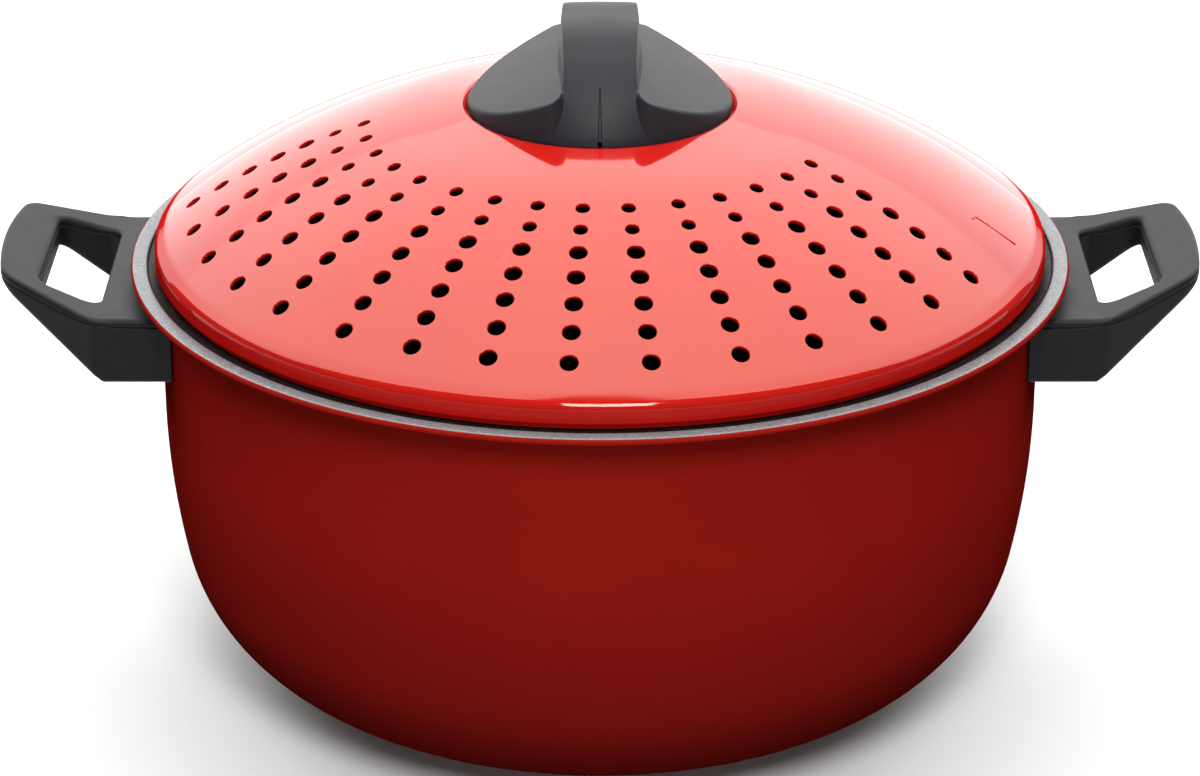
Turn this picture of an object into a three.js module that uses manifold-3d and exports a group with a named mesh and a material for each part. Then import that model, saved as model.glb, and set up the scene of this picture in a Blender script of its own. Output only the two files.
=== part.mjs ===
// Pasta pot with a strainer lid.
// Millimetres, +Z up. The pot stands on z = 0, its handles lie along X and its front faces -Y.

import * as THREE from 'three';
import { mergeVertices } from 'three/addons/utils/BufferGeometryUtils.js';
import Module from 'manifold-3d';

const wasm = await Module();
wasm.setup();

const rad = THREE.MathUtils.degToRad;

// Fits and facets
const CLEARANCE = 0.3; // between pieces that touch
const ROUND_STEPS = 48; // facets round the pot and the lid
const KNOB_STEPS = 36;
const SMALL_STEPS = 16; // facets round screws, washers and bosses

// Pot
const POT_RADIUS = 121.84; // outside of the straight wall
const POT_HEIGHT = 121.2; // underside to top of flange
const POT_WALL = 2.5;
const POT_FLOOR = 4;
const BELLY_RADIUS = 217.5; // gentle arc below the straight wall
const BELLY_ANGLE = rad(11.29);
const FOOT_RADIUS = 47.93; // arc from the belly to the flat underside
const FLANGE_WIDTH = 7.76; // beyond the wall
const FLANGE_THICKNESS = 2.2;
const FLANGE_FILLET = 1.6; // under the flange
const LEDGE_WIDTH = 5.7; // inner wall to the step that the lid sits in
const LEDGE_SHEET = 1; // flange left under that ledge
const RIM_ROUND = 0.8; // inner edge of the ledge
const DISC_MARGIN = 6; // flat ring left round the base disc
const DISC_THICKNESS = 1.2;

// Catch: pressed dimples in the pot wall, bent tabs on the lid
const DIMPLE_RADIUS = 6; // of the ball that presses it
const DIMPLE_DEPTH = 2.4;
const DIMPLE_DROP = 10; // flange top to dimple centre
const TAB_SHEET = 1.2;
const TAB_WELD = 10; // length of the leaf under the dome
const TAB_SEAT_GAP = 0.6; // flat leaf under a faceted dome
const TAB_PLAY = 0.5;
const STOP_HEIGHT = 5;
const LOCK_ANGLE = rad(14.5); // turn from open to caught

// Lid
const LID_OVERLAP = 3.56; // skirt beyond the pot's inner wall
const LID_SHEET = 1.2;
const LID_HEIGHT = 42.4; // lip to knob seat
const LIP_HEIGHT = 1.9; // lip under the skirt, which stands on the ledge
const LIP_INSET = 1.3; // of the lip behind the skirt
const SKIRT_HEIGHT = 6.85; // with the lip
const SHOULDER_RADIUS = 3;
const SEAT_RADIUS = 46.6; // flat seat of the knob

// Strainer holes
const HOLE_FIELDS = 3;
const FIELD_COLUMNS = 5;
const FIELD_PITCH = rad(54);
const COLUMN_PITCH = rad(10.55);
const PATTERN_CENTRE = rad(-14.5); // from the front, positive to the right
const RING_PITCH = 7.95;
const HOLE_EDGE_MARGIN = 10.5; // outer ring to skirt
const HOLE_SEAT_MARGIN = 17; // least distance of the inner ring from the knob seat
const LARGE_HOLE = 4.8;
const SMALL_HOLE = 3.8;
const SMALL_RINGS = 2; // inner rings with the smaller holes
const HOLE_STEPS = 6;

// Knob
const KNOB_RADIUS = 36.3;
const KNOB_HEIGHT = 27.7;
const KNOB_DRAFT = rad(4); // of the round wall
const KNOB_FACE_TILT = rad(51); // ends of the grip bar
const KNOB_BEND = 17; // height where those ends start to round over
const BAR_WIDTH = 21.4;
const BAR_WAIST = 1; // narrowing of the bar at its middle
const FLARE_RADIUS = 4.5; // bar side into the round wall
const PAD_TILT = rad(25);
const PAD_EDGE_HEIGHT = 2; // at the tips of the pads
const INSERT_DIAMETER = 9;
const INSERT_LENGTH = 14;
const KNOB_SCREW_DIAMETER = 5;
const KNOB_SCREW_HEAD = 10;
const KNOB_SCREW_HEAD_HEIGHT = 3;
const KNOB_SCREW_GRIP = 10; // length of thread in the insert
const KNOB_WASHER_DIAMETER = 20;
const KNOB_WASHER_THICKNESS = 1.5;

// Handles
const HANDLE_REACH = 43.2; // pot wall to outer end
const HANDLE_WIDTH = 77.6; // across the root
const HANDLE_END_WIDTH = 55;
const HANDLE_END_BULGE = 3.4;
const HANDLE_CORNER = 6.5; // rounding of the outer corners
const HANDLE_SHOULDER = 15.7; // pot wall to where the loop narrows and rises
const HANDLE_DROP = 6.1; // flange top to top of root
const HANDLE_ROOT_HEIGHT = 18.6;
const HANDLE_UNDER_START = 13.2; // pot wall to where the underside rises
const HANDLE_RISE = rad(20.8);
const HANDLE_END_THICKNESS = 3.2;
const GRIP_WIDTH = 12; // outer bar of the loop
const ROOT_DEPTH = 14.2; // pot wall to hand hole
const HAND_HOLE_ROOT_WIDTH = 54;
const HAND_HOLE_END_WIDTH = 48;
const HAND_HOLE_CORNER = 4;
const BRACKET_WIDTH = 30;
const BRACKET_HEIGHT = 12;
const BRACKET_PLATE = 2.5;
const BOSS_DIAMETER = 10;
const SCREW_LAND = 3; // handle material under the screw
const HANDLE_SCREW_DIAMETER = 5;
const HANDLE_SCREW_HEAD = 9;
const HANDLE_SCREW_HEAD_HEIGHT = 3;
const HANDLE_WASHER_DIAMETER = 10;
const HANDLE_WASHER_THICKNESS = 1;

// Sizes that follow from those
const potInner = POT_RADIUS - POT_WALL;
const potInnerFlat = potInner * Math.cos(Math.PI / ROUND_STEPS); // at the middle of a facet
const bellyFoot = POT_RADIUS - BELLY_RADIUS * (1 - Math.cos(BELLY_ANGLE)); // radius where the belly ends
const underFlat = bellyFoot - FOOT_RADIUS * Math.cos(BELLY_ANGLE);
const bellyTop = FOOT_RADIUS * (1 - Math.sin(BELLY_ANGLE)) + BELLY_RADIUS * Math.sin(BELLY_ANGLE);
const discRadius = underFlat - DISC_MARGIN;
const flangeUnder = POT_HEIGHT - FLANGE_THICKNESS;
const ledgeZ = flangeUnder + LEDGE_SHEET;
const dimpleZ = POT_HEIGHT - DIMPLE_DROP;
const dimpleCentre = potInner - DIMPLE_DEPTH + DIMPLE_RADIUS;

const lidRadius = potInner + LID_OVERLAP;
const lidBottom = ledgeZ + CLEARANCE;
const lipTop = lidBottom + LIP_HEIGHT;
const skirtTop = lidBottom + SKIRT_HEIGHT;
const seatZ = lidBottom + LID_HEIGHT;
const domeSquares = SEAT_RADIUS ** 2 + seatZ ** 2 - lidRadius ** 2 - skirtTop ** 2;
const domeCentre = domeSquares / (2 * (seatZ - skirtTop)); // height of the dome's centre
const domeRadius = Math.hypot(SEAT_RADIUS, seatZ - domeCentre);
const underSeat = seatZ - LID_SHEET;
const lidScrewHole = KNOB_SCREW_DIAMETER / 2 + CLEARANCE;

const knobBottom = seatZ + CLEARANCE;
const insertRadius = INSERT_DIAMETER / 2;

const rootTop = POT_HEIGHT - HANDLE_DROP;
const rootBottom = rootTop - HANDLE_ROOT_HEIGHT;
const screwZ = rootTop - HANDLE_ROOT_HEIGHT / 2;
const shoulderX = POT_RADIUS + HANDLE_SHOULDER;
const handleEnd = POT_RADIUS + HANDLE_REACH;
const handHoleStart = POT_RADIUS + ROOT_DEPTH;
const counterbore = HANDLE_WASHER_THICKNESS + HANDLE_SCREW_HEAD_HEIGHT + 3 * CLEARANCE;
const landX = handHoleStart - counterbore; // face that the washer bears on
const bossEnd = landX - SCREW_LAND - CLEARANCE;
const plateFront = POT_RADIUS + CLEARANCE + BRACKET_PLATE;

// Materials
function finish(color, roughness, metalness) {
  return new THREE.MeshStandardMaterial({ color, roughness, metalness });
}

const redEnamel = finish(0x9c1c17, 0.15, 0.1);
const greyPlastic = finish(0x4a494d, 0.55, 0);
const steel = finish(0xb9babc, 0.35, 1);

// Points [radius, height] on a circle, both ends included
function arc(centreR, centreZ, radius, from, to, steps) {
  return Array.from({ length: steps + 1 }, (_, i) => {
    const angle = from + ((to - from) * i) / steps;
    return [centreR + radius * Math.cos(angle), centreZ + radius * Math.sin(angle)];
  });
}

// Turns a profile about Z: counterclockwise, and either closed or with both ends on the axis
function turned(profile, steps) {
  const points = profile.map(([r, z]) => new THREE.Vector2(r, z));
  return new THREE.LatheGeometry(points, steps).rotateX(Math.PI / 2);
}

function ring(inner, outer, bottom, top, steps) {
  const corners = [[inner, bottom], [outer, bottom], [outer, top], [inner, top], [inner, bottom]];
  return turned(corners, steps);
}

function disc(radius, bottom, top, steps) {
  return turned([[0, bottom], [radius, bottom], [radius, top], [0, top]], steps);
}

// A bar of round section along X
function roundBarX(radius, from, to) {
  return disc(radius, from, to, SMALL_STEPS).rotateY(Math.PI / 2);
}

function outline(points) {
  return new THREE.Shape(points.map(([x, y]) => new THREE.Vector2(x, y)));
}

// Outline in XY raised along Z
function raised(shape, bottom, top, curveSegments = 6) {
  const options = { depth: top - bottom, bevelEnabled: false, curveSegments };
  return new THREE.ExtrudeGeometry(shape, options).translate(0, 0, bottom);
}

// Outline in XZ drawn out along Y, to the same distance both ways
function drawnAlongY(shape, width) {
  return raised(shape, -width / 2, width / 2).rotateX(Math.PI / 2);
}

// Outline in YZ drawn out along X, to the same distance both ways
function drawnAlongX(shape, width) {
  const toYZ = new THREE.Matrix4().makeBasis(
    new THREE.Vector3(0, 1, 0),
    new THREE.Vector3(0, 0, 1),
    new THREE.Vector3(1, 0, 0),
  );
  return raised(shape, -width / 2, width / 2).applyMatrix4(toYZ);
}

function block(sizeX, sizeY, sizeZ, x, y, z) {
  return new THREE.BoxGeometry(sizeX, sizeY, sizeZ).translate(x, y, z);
}

// A closed geometry as a solid that can be joined and cut
function solid(geometry) {
  const bare = geometry.clone();
  bare.deleteAttribute('normal');
  bare.deleteAttribute('uv');
  const merged = mergeVertices(bare);
  const corners = merged.index.array;
  const kept = [];
  for (let i = 0; i < corners.length; i += 3) {
    const [a, b, c] = [corners[i], corners[i + 1], corners[i + 2]];
    if (a !== b && b !== c && c !== a) kept.push(a, b, c);
  }
  const vertProperties = new Float32Array(merged.attributes.position.array);
  const triVerts = new Uint32Array(kept);
  return new wasm.Manifold(new wasm.Mesh({ numProp: 3, vertProperties, triVerts }));
}

function geometryOf(body) {
  const mesh = body.getMesh();
  const geometry = new THREE.BufferGeometry();
  geometry.setAttribute('position', new THREE.BufferAttribute(mesh.vertProperties, 3));
  geometry.setIndex(new THREE.BufferAttribute(mesh.triVerts, 1));
  geometry.computeVertexNormals();
  return geometry;
}

function joined(...geometries) {
  return geometries.map(solid).reduce((sum, body) => sum.add(body));
}

// Everything inside the pot's outer wall, grown by a gap
function insideOfWall(gap) {
  return disc(POT_RADIUS + gap, -POT_HEIGHT, 2 * POT_HEIGHT, ROUND_STEPS);
}

// Pot
function potProfile() {
  const bellyCentre = POT_RADIUS - BELLY_RADIUS;
  const floorLift = POT_FLOOR - POT_WALL;
  const edgeRadius = FLANGE_THICKNESS / 2;
  const edgeCentre = POT_RADIUS + FLANGE_WIDTH - edgeRadius;
  const recessRadius = discRadius + CLEARANCE;
  const recessTop = DISC_THICKNESS + CLEARANCE;
  const right = Math.PI / 2;
  return [
    [0, recessTop],
    [recessRadius, recessTop],
    [recessRadius, 0],
    ...arc(underFlat, FOOT_RADIUS, FOOT_RADIUS, -right, -BELLY_ANGLE, 6),
    ...arc(bellyCentre, bellyTop, BELLY_RADIUS, -BELLY_ANGLE, 0, 3).slice(1),
    ...arc(POT_RADIUS + FLANGE_FILLET, flangeUnder - FLANGE_FILLET, FLANGE_FILLET, Math.PI, right, 2),
    ...arc(edgeCentre, POT_HEIGHT - edgeRadius, edgeRadius, -right, right, 4),
    [potInner + LEDGE_WIDTH, POT_HEIGHT],
    [potInner + LEDGE_WIDTH, ledgeZ],
    ...arc(potInner + RIM_ROUND, ledgeZ - RIM_ROUND, RIM_ROUND, right, Math.PI, 3),
    ...arc(bellyCentre, bellyTop + floorLift, BELLY_RADIUS - POT_WALL, 0, -BELLY_ANGLE, 3),
    ...arc(underFlat, FOOT_RADIUS + floorLift, FOOT_RADIUS - POT_WALL, -BELLY_ANGLE, -right, 6).slice(1),
    [0, POT_FLOOR],
  ];
}

function dimpleBall(radius, side) {
  return new THREE.SphereGeometry(radius, 16, 10).translate(side * dimpleCentre, 0, dimpleZ);
}

function potBody() {
  const midWall = disc(potInner + POT_WALL / 2, 0, POT_HEIGHT, ROUND_STEPS);
  let body = solid(turned(potProfile(), ROUND_STEPS));
  for (const side of [1, -1]) {
    const bump = solid(dimpleBall(DIMPLE_RADIUS, side)).intersect(solid(midWall));
    const hollow = solid(dimpleBall(DIMPLE_RADIUS - POT_WALL, side));
    body = body.add(bump).subtract(hollow);
  }
  return geometryOf(body);
}

function baseDisc() {
  return disc(discRadius, 0, DISC_THICKNESS, ROUND_STEPS);
}

// Screw with its head above z = 0 and its shank below
function panScrew(diameter, shank, head, headHeight) {
  const radius = diameter / 2;
  const point = radius / 4;
  const crown = headHeight / 2; // the upper half of the head is rounded
  const profile = [
    [0, -shank],
    [radius - point, -shank],
    [radius, point - shank],
    [radius, 0],
    [head / 2, 0],
    [head / 2, crown],
    [head / 2 - crown, headHeight],
    [0, headHeight],
  ];
  return turned(profile, SMALL_STEPS);
}

// Handles, drawn on the +X side
function handlePlan(startX) {
  const half = HANDLE_WIDTH / 2;
  const endHalf = HANDLE_END_WIDTH / 2;
  const corner = new THREE.Vector2(handleEnd - HANDLE_END_BULGE, endHalf);
  const toShoulder = new THREE.Vector2(shoulderX, half).sub(corner).setLength(HANDLE_CORNER);
  const cornerStart = corner.clone().add(toShoulder);
  const endY = endHalf - HANDLE_CORNER;
  const endX = handleEnd - HANDLE_END_BULGE * (endY / endHalf) ** 2;
  const shape = new THREE.Shape();
  shape.moveTo(startX, -half);
  shape.lineTo(shoulderX, -half);
  shape.lineTo(cornerStart.x, -cornerStart.y);
  shape.quadraticCurveTo(corner.x, -corner.y, endX, -endY);
  shape.quadraticCurveTo(2 * handleEnd - endX, 0, endX, endY);
  shape.quadraticCurveTo(corner.x, corner.y, cornerStart.x, cornerStart.y);
  shape.lineTo(shoulderX, half);
  shape.lineTo(startX, half);
  return shape;
}

function handleSide(startX) {
  const endTop = rootTop + (handleEnd - shoulderX) * Math.tan(HANDLE_RISE);
  return outline([
    [startX, rootBottom],
    [POT_RADIUS + HANDLE_UNDER_START, rootBottom],
    [handleEnd, endTop - HANDLE_END_THICKNESS],
    [handleEnd, endTop],
    [shoulderX, rootTop],
    [startX, rootTop],
  ]);
}

function handHole() {
  const root = HAND_HOLE_ROOT_WIDTH / 2;
  const end = HAND_HOLE_END_WIDTH / 2;
  const startX = handHoleStart;
  const endX = handleEnd - GRIP_WIDTH;
  const corner = HAND_HOLE_CORNER;
  const slope = (root - end) / (endX - startX);
  const shape = new THREE.Shape();
  shape.moveTo(startX, corner - root);
  shape.quadraticCurveTo(startX, -root, startX + corner, slope * corner - root);
  shape.lineTo(endX - corner, -end - slope * corner);
  shape.quadraticCurveTo(endX, -end, endX, corner - end);
  shape.lineTo(endX, end - corner);
  shape.quadraticCurveTo(endX, end, endX - corner, end + slope * corner);
  shape.lineTo(startX + corner, root - slope * corner);
  shape.quadraticCurveTo(startX, root, startX, root - corner);
  return shape;
}

function handle() {
  const low = rootBottom - POT_HEIGHT;
  const high = rootTop + POT_HEIGHT;
  const startX = Math.sqrt(POT_RADIUS ** 2 - (HANDLE_WIDTH / 2) ** 2) - POT_WALL;
  const pocketEnd = plateFront + CLEARANCE;
  const pocket = block(
    pocketEnd - startX,
    BRACKET_WIDTH + 2 * CLEARANCE,
    BRACKET_HEIGHT + 2 * CLEARANCE,
    (pocketEnd + startX) / 2,
    0,
    screwZ,
  );
  const bossBore = roundBarX(BOSS_DIAMETER / 2 + CLEARANCE, startX, bossEnd + CLEARANCE);
  const screwBore = roundBarX(HANDLE_SCREW_DIAMETER / 2 + CLEARANCE, startX, handleEnd - GRIP_WIDTH);
  const headRadius = Math.max(HANDLE_SCREW_HEAD, HANDLE_WASHER_DIAMETER) / 2 + CLEARANCE;
  const headBore = roundBarX(headRadius, landX, handleEnd - GRIP_WIDTH);
  for (const bore of [bossBore, screwBore, headBore]) bore.translate(0, 0, screwZ);
  const body = solid(raised(handlePlan(startX), low, high))
    .intersect(solid(drawnAlongY(handleSide(startX), 2 * HANDLE_WIDTH)))
    .subtract(solid(raised(handHole(), low, high, 4)))
    .subtract(solid(insideOfWall(CLEARANCE)))
    .subtract(joined(pocket, bossBore, screwBore, headBore));
  return geometryOf(body);
}

function handleBracket() {
  const backX = POT_RADIUS * 0.9;
  const plate = block(plateFront - backX, BRACKET_WIDTH, BRACKET_HEIGHT, (plateFront + backX) / 2, 0, screwZ);
  const boss = roundBarX(BOSS_DIAMETER / 2, plateFront - BRACKET_PLATE / 2, bossEnd).translate(0, 0, screwZ);
  const thread = roundBarX(HANDLE_SCREW_DIAMETER / 2 + CLEARANCE, backX, handleEnd).translate(0, 0, screwZ);
  const body = joined(plate, boss).subtract(solid(insideOfWall(CLEARANCE))).subtract(solid(thread));
  return geometryOf(body);
}

function handleWasher() {
  const bore = HANDLE_SCREW_DIAMETER / 2 + CLEARANCE;
  return ring(bore, HANDLE_WASHER_DIAMETER / 2, 0, HANDLE_WASHER_THICKNESS, SMALL_STEPS)
    .rotateY(Math.PI / 2)
    .translate(landX + CLEARANCE, 0, screwZ);
}

function handleScrew() {
  const headX = landX + HANDLE_WASHER_THICKNESS + 2 * CLEARANCE;
  const shank = headX - plateFront;
  return panScrew(HANDLE_SCREW_DIAMETER, shank, HANDLE_SCREW_HEAD, HANDLE_SCREW_HEAD_HEIGHT)
    .rotateY(Math.PI / 2)
    .translate(headX, 0, screwZ);
}

// Height of a dome concentric with the lid's outer face
function domeZ(radius, inset) {
  return domeCentre + Math.sqrt((domeRadius - inset) ** 2 - radius ** 2);
}

// One face of the lid, from the lip to the knob seat
function lidFace(inset) {
  const round = SHOULDER_RADIUS - inset;
  const roundR = lidRadius - SHOULDER_RADIUS;
  const roundZ = domeCentre + Math.sqrt((domeRadius - SHOULDER_RADIUS) ** 2 - roundR ** 2);
  const shoulderAngle = Math.atan2(roundZ - domeCentre, roundR);
  const top = seatZ - inset;
  const seatAngle = Math.asin((top - domeCentre) / (domeRadius - inset));
  return [
    [lidRadius - LIP_INSET - inset, lidBottom],
    [lidRadius - LIP_INSET - inset, lipTop + inset],
    [lidRadius - inset, lipTop + inset],
    ...arc(roundR, roundZ, round, 0, shoulderAngle, 2),
    ...arc(0, domeCentre, domeRadius - inset, shoulderAngle, seatAngle, 4).slice(1),
    [lidScrewHole, top],
  ];
}

function strainerHoles() {
  const outerRing = lidRadius - HOLE_EDGE_MARGIN;
  const rings = 1 + Math.floor((outerRing - SEAT_RADIUS - HOLE_SEAT_MARGIN) / RING_PITCH);
  const holes = [];
  for (let row = 0; row < rings; row += 1) {
    const ringRadius = outerRing - row * RING_PITCH;
    const diameter = row < rings - SMALL_RINGS ? LARGE_HOLE : SMALL_HOLE;
    const lean = Math.asin(ringRadius / domeRadius);
    for (let field = 0; field < HOLE_FIELDS; field += 1) {
      for (let column = 0; column < FIELD_COLUMNS; column += 1) {
        const fromFront = PATTERN_CENTRE
          + (field - (HOLE_FIELDS - 1) / 2) * FIELD_PITCH
          + (column - (FIELD_COLUMNS - 1) / 2) * COLUMN_PITCH;
        const punch = disc(diameter / 2, domeRadius - 3 * LID_SHEET, domeRadius + 2 * LID_SHEET, HOLE_STEPS)
          .rotateX(lean)
          .rotateZ(fromFront)
          .translate(0, 0, domeCentre);
        holes.push(solid(punch));
      }
    }
  }
  return holes;
}

function lidShell() {
  const outer = lidFace(0);
  const inner = lidFace(LID_SHEET).reverse();
  const blank = solid(turned([...outer, ...inner, outer[0]], ROUND_STEPS));
  return geometryOf(strainerHoles().reduce((body, hole) => body.subtract(hole), blank));
}

// Tab in the XZ plane: a leaf under the dome, a web down into the pot, a foot turned outwards
function lockTab() {
  const web = potInner - DIMPLE_DEPTH - TAB_PLAY;
  const webInner = web - TAB_SHEET;
  const leafEnd = web - TAB_WELD;
  const leafMiddle = web - TAB_WELD / 2;
  const dimpleHalf = Math.sqrt(DIMPLE_RADIUS ** 2 - (DIMPLE_RADIUS - DIMPLE_DEPTH) ** 2);
  const footTop = dimpleZ - dimpleHalf - TAB_PLAY;
  const footBottom = footTop - TAB_SHEET;
  const halfWidth = dimpleHalf + TAB_PLAY + TAB_SHEET;
  const footOuter = Math.sqrt((potInnerFlat - TAB_PLAY) ** 2 - halfWidth ** 2);
  const leafTop = TAB_SEAT_GAP + LID_SHEET;
  const leafUnder = leafTop + TAB_SHEET;
  const strip = outline([
    [footOuter, footBottom],
    [footOuter, footTop],
    [web, footTop],
    [web, domeZ(web, leafTop)],
    [leafMiddle, domeZ(leafMiddle, leafTop)],
    [leafEnd, domeZ(leafEnd, leafTop)],
    [leafEnd, domeZ(leafEnd, leafUnder)],
    [leafMiddle, domeZ(leafMiddle, leafUnder)],
    [webInner, domeZ(webInner, leafUnder)],
    [webInner, footBottom],
  ]);
  const stop = block(
    footOuter - webInner,
    TAB_SHEET,
    STOP_HEIGHT + TAB_SHEET,
    (footOuter + webInner) / 2,
    TAB_SHEET / 2 - halfWidth,
    footBottom + (STOP_HEIGHT + TAB_SHEET) / 2,
  );
  return geometryOf(joined(drawnAlongY(strip, 2 * halfWidth), stop));
}

// Knob, drawn on z = 0. Side view of the grip bar
function knobArch() {
  const crestY = KNOB_RADIUS - KNOB_HEIGHT / Math.tan(KNOB_FACE_TILT);
  const bendY = KNOB_RADIUS - KNOB_BEND / Math.tan(KNOB_FACE_TILT);
  const shape = new THREE.Shape();
  shape.moveTo(-KNOB_RADIUS, 0);
  shape.lineTo(KNOB_RADIUS, 0);
  shape.lineTo(bendY, KNOB_BEND);
  shape.quadraticCurveTo(crestY, KNOB_HEIGHT, 0, KNOB_HEIGHT);
  shape.quadraticCurveTo(-crestY, KNOB_HEIGHT, -bendY, KNOB_BEND);
  return shape;
}

// Top view of the grip bar, flaring out to the round wall at both ends
function knobBarPlan() {
  const half = BAR_WIDTH / 2;
  const waist = half - BAR_WAIST / 2;
  const flareX = half + FLARE_RADIUS;
  const flareY = Math.sqrt(KNOB_RADIUS ** 2 - flareX ** 2) - FLARE_RADIUS;
  const right = Math.PI / 2;
  const shape = new THREE.Shape();
  shape.moveTo(waist, 0);
  shape.absarc(flareX, flareY, FLARE_RADIUS, Math.PI, right, true);
  shape.lineTo(flareX, KNOB_RADIUS);
  shape.lineTo(-flareX, KNOB_RADIUS);
  shape.absarc(-flareX, flareY, FLARE_RADIUS, right, 0, true);
  shape.lineTo(-waist, 0);
  shape.absarc(-flareX, -flareY, FLARE_RADIUS, 0, -right, true);
  shape.lineTo(-flareX, -KNOB_RADIUS);
  shape.lineTo(flareX, -KNOB_RADIUS);
  shape.absarc(flareX, -flareY, FLARE_RADIUS, -right, -Math.PI, true);
  return shape;
}

// Front view of the two sloping pads
function knobPads() {
  const root = PAD_EDGE_HEIGHT + KNOB_RADIUS * Math.tan(PAD_TILT);
  return outline([
    [-KNOB_RADIUS, 0],
    [KNOB_RADIUS, 0],
    [KNOB_RADIUS, PAD_EDGE_HEIGHT],
    [0, root],
    [-KNOB_RADIUS, PAD_EDGE_HEIGHT],
  ]);
}

function lidKnob() {
  const crown = KNOB_RADIUS - KNOB_HEIGHT * Math.tan(KNOB_DRAFT);
  const wall = [[0, 0], [KNOB_RADIUS, 0], [crown, KNOB_HEIGHT], [0, KNOB_HEIGHT]];
  const round = solid(turned(wall, KNOB_STEPS));
  const barSpace = solid(raised(knobBarPlan(), 0, KNOB_HEIGHT));
  const arch = solid(drawnAlongX(knobArch(), 2 * KNOB_RADIUS));
  const pads = solid(drawnAlongY(knobPads(), 2 * KNOB_RADIUS));
  const bore = disc(insertRadius + CLEARANCE, -CLEARANCE, INSERT_LENGTH + 2 * CLEARANCE, SMALL_STEPS);
  const body = pads.subtract(barSpace).add(barSpace.intersect(arch)).intersect(round);
  return geometryOf(body.subtract(solid(bore)));
}

function knobInsert() {
  const bore = KNOB_SCREW_DIAMETER / 2 + CLEARANCE;
  return ring(bore, insertRadius, CLEARANCE, INSERT_LENGTH + CLEARANCE, SMALL_STEPS);
}

function knobWasher() {
  const bore = KNOB_SCREW_DIAMETER / 2 + CLEARANCE;
  const top = underSeat - CLEARANCE;
  return ring(bore, KNOB_WASHER_DIAMETER / 2, top - KNOB_WASHER_THICKNESS, top, SMALL_STEPS);
}

function knobScrew() {
  const headTop = underSeat - KNOB_WASHER_THICKNESS - 2 * CLEARANCE;
  const shank = knobBottom + KNOB_SCREW_GRIP - headTop;
  return panScrew(KNOB_SCREW_DIAMETER, shank, KNOB_SCREW_HEAD, KNOB_SCREW_HEAD_HEIGHT)
    .rotateX(Math.PI)
    .translate(0, 0, headTop);
}

// Assembly
function piece(name, geometry, material) {
  const mesh = new THREE.Mesh(geometry, material);
  mesh.name = name;
  return mesh;
}

function handleSet(side) {
  return [
    piece(`${side}_handle`, handle(), greyPlastic),
    piece(`${side}_handle_bracket`, handleBracket(), steel),
    piece(`${side}_handle_washer`, handleWasher(), steel),
    piece(`${side}_handle_screw`, handleScrew(), steel),
  ];
}

const potGroup = new THREE.Group();
potGroup.add(piece('pot_body', potBody(), redEnamel), piece('base_disc', baseDisc(), steel));

const lidGroup = new THREE.Group();
lidGroup.add(
  piece('lid_shell', lidShell(), redEnamel),
  piece('knob_washer', knobWasher(), steel),
  piece('knob_screw', knobScrew(), steel),
);

const knobGroup = new THREE.Group();
knobGroup.position.z = knobBottom;
knobGroup.add(piece('lid_knob', lidKnob(), greyPlastic), piece('knob_insert', knobInsert(), steel));
lidGroup.add(knobGroup);

for (const [side, turn] of [['right', 0], ['left', Math.PI]]) {
  const handleGroup = new THREE.Group();
  handleGroup.rotation.z = turn;
  handleGroup.add(...handleSet(side));
  potGroup.add(handleGroup);

  const tabGroup = new THREE.Group();
  tabGroup.rotation.z = turn - LOCK_ANGLE;
  tabGroup.add(piece(`${side}_lock_tab`, lockTab(), steel));
  lidGroup.add(tabGroup);
}

const pastaPot = new THREE.Group();
pastaPot.add(potGroup, lidGroup);

export default pastaPot;
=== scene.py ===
"""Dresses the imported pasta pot: enamelled pot and strainer lid, moulded knob and handles, steel fittings.

Lengths are metres, angles radians. The pot stands on z = 0, its handles lie along X, its front faces -Y.
Angles round the pot are taken from the front, positive to the right.
"""

import functools
import itertools
import math

import bmesh
import bpy
import numpy as np
from mathutils import Euler, Matrix, Vector
from mathutils.geometry import delaunay_2d_cdt


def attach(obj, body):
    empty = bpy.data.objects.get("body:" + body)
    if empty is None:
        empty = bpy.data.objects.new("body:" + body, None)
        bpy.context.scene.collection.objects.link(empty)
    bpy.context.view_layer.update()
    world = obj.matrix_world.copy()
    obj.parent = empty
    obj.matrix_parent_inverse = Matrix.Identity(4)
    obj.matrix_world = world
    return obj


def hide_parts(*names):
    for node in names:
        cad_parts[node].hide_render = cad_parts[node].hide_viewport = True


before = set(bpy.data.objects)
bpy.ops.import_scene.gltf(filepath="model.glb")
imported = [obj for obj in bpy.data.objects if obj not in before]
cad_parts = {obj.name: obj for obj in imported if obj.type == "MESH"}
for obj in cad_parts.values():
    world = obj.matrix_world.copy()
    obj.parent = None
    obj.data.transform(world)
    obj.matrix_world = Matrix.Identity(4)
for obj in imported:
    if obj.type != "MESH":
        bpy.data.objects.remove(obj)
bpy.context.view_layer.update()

MM = 0.001
QUARTER = math.pi / 2

# Meshing
MERGE_DISTANCE = 0.002 * MM
POLE_RADIUS = 1e-7  # a ring smaller than this is one point
PLAN_TOLERANCE = 1e-9
SLOPE_STEP = 0.02 * MM  # over which a moulded shape's slope is taken, each way
SETTLE_ROUNDS = 4  # times that its points are drawn onto its surface
LEAST_STEEPNESS = 0.05

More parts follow.
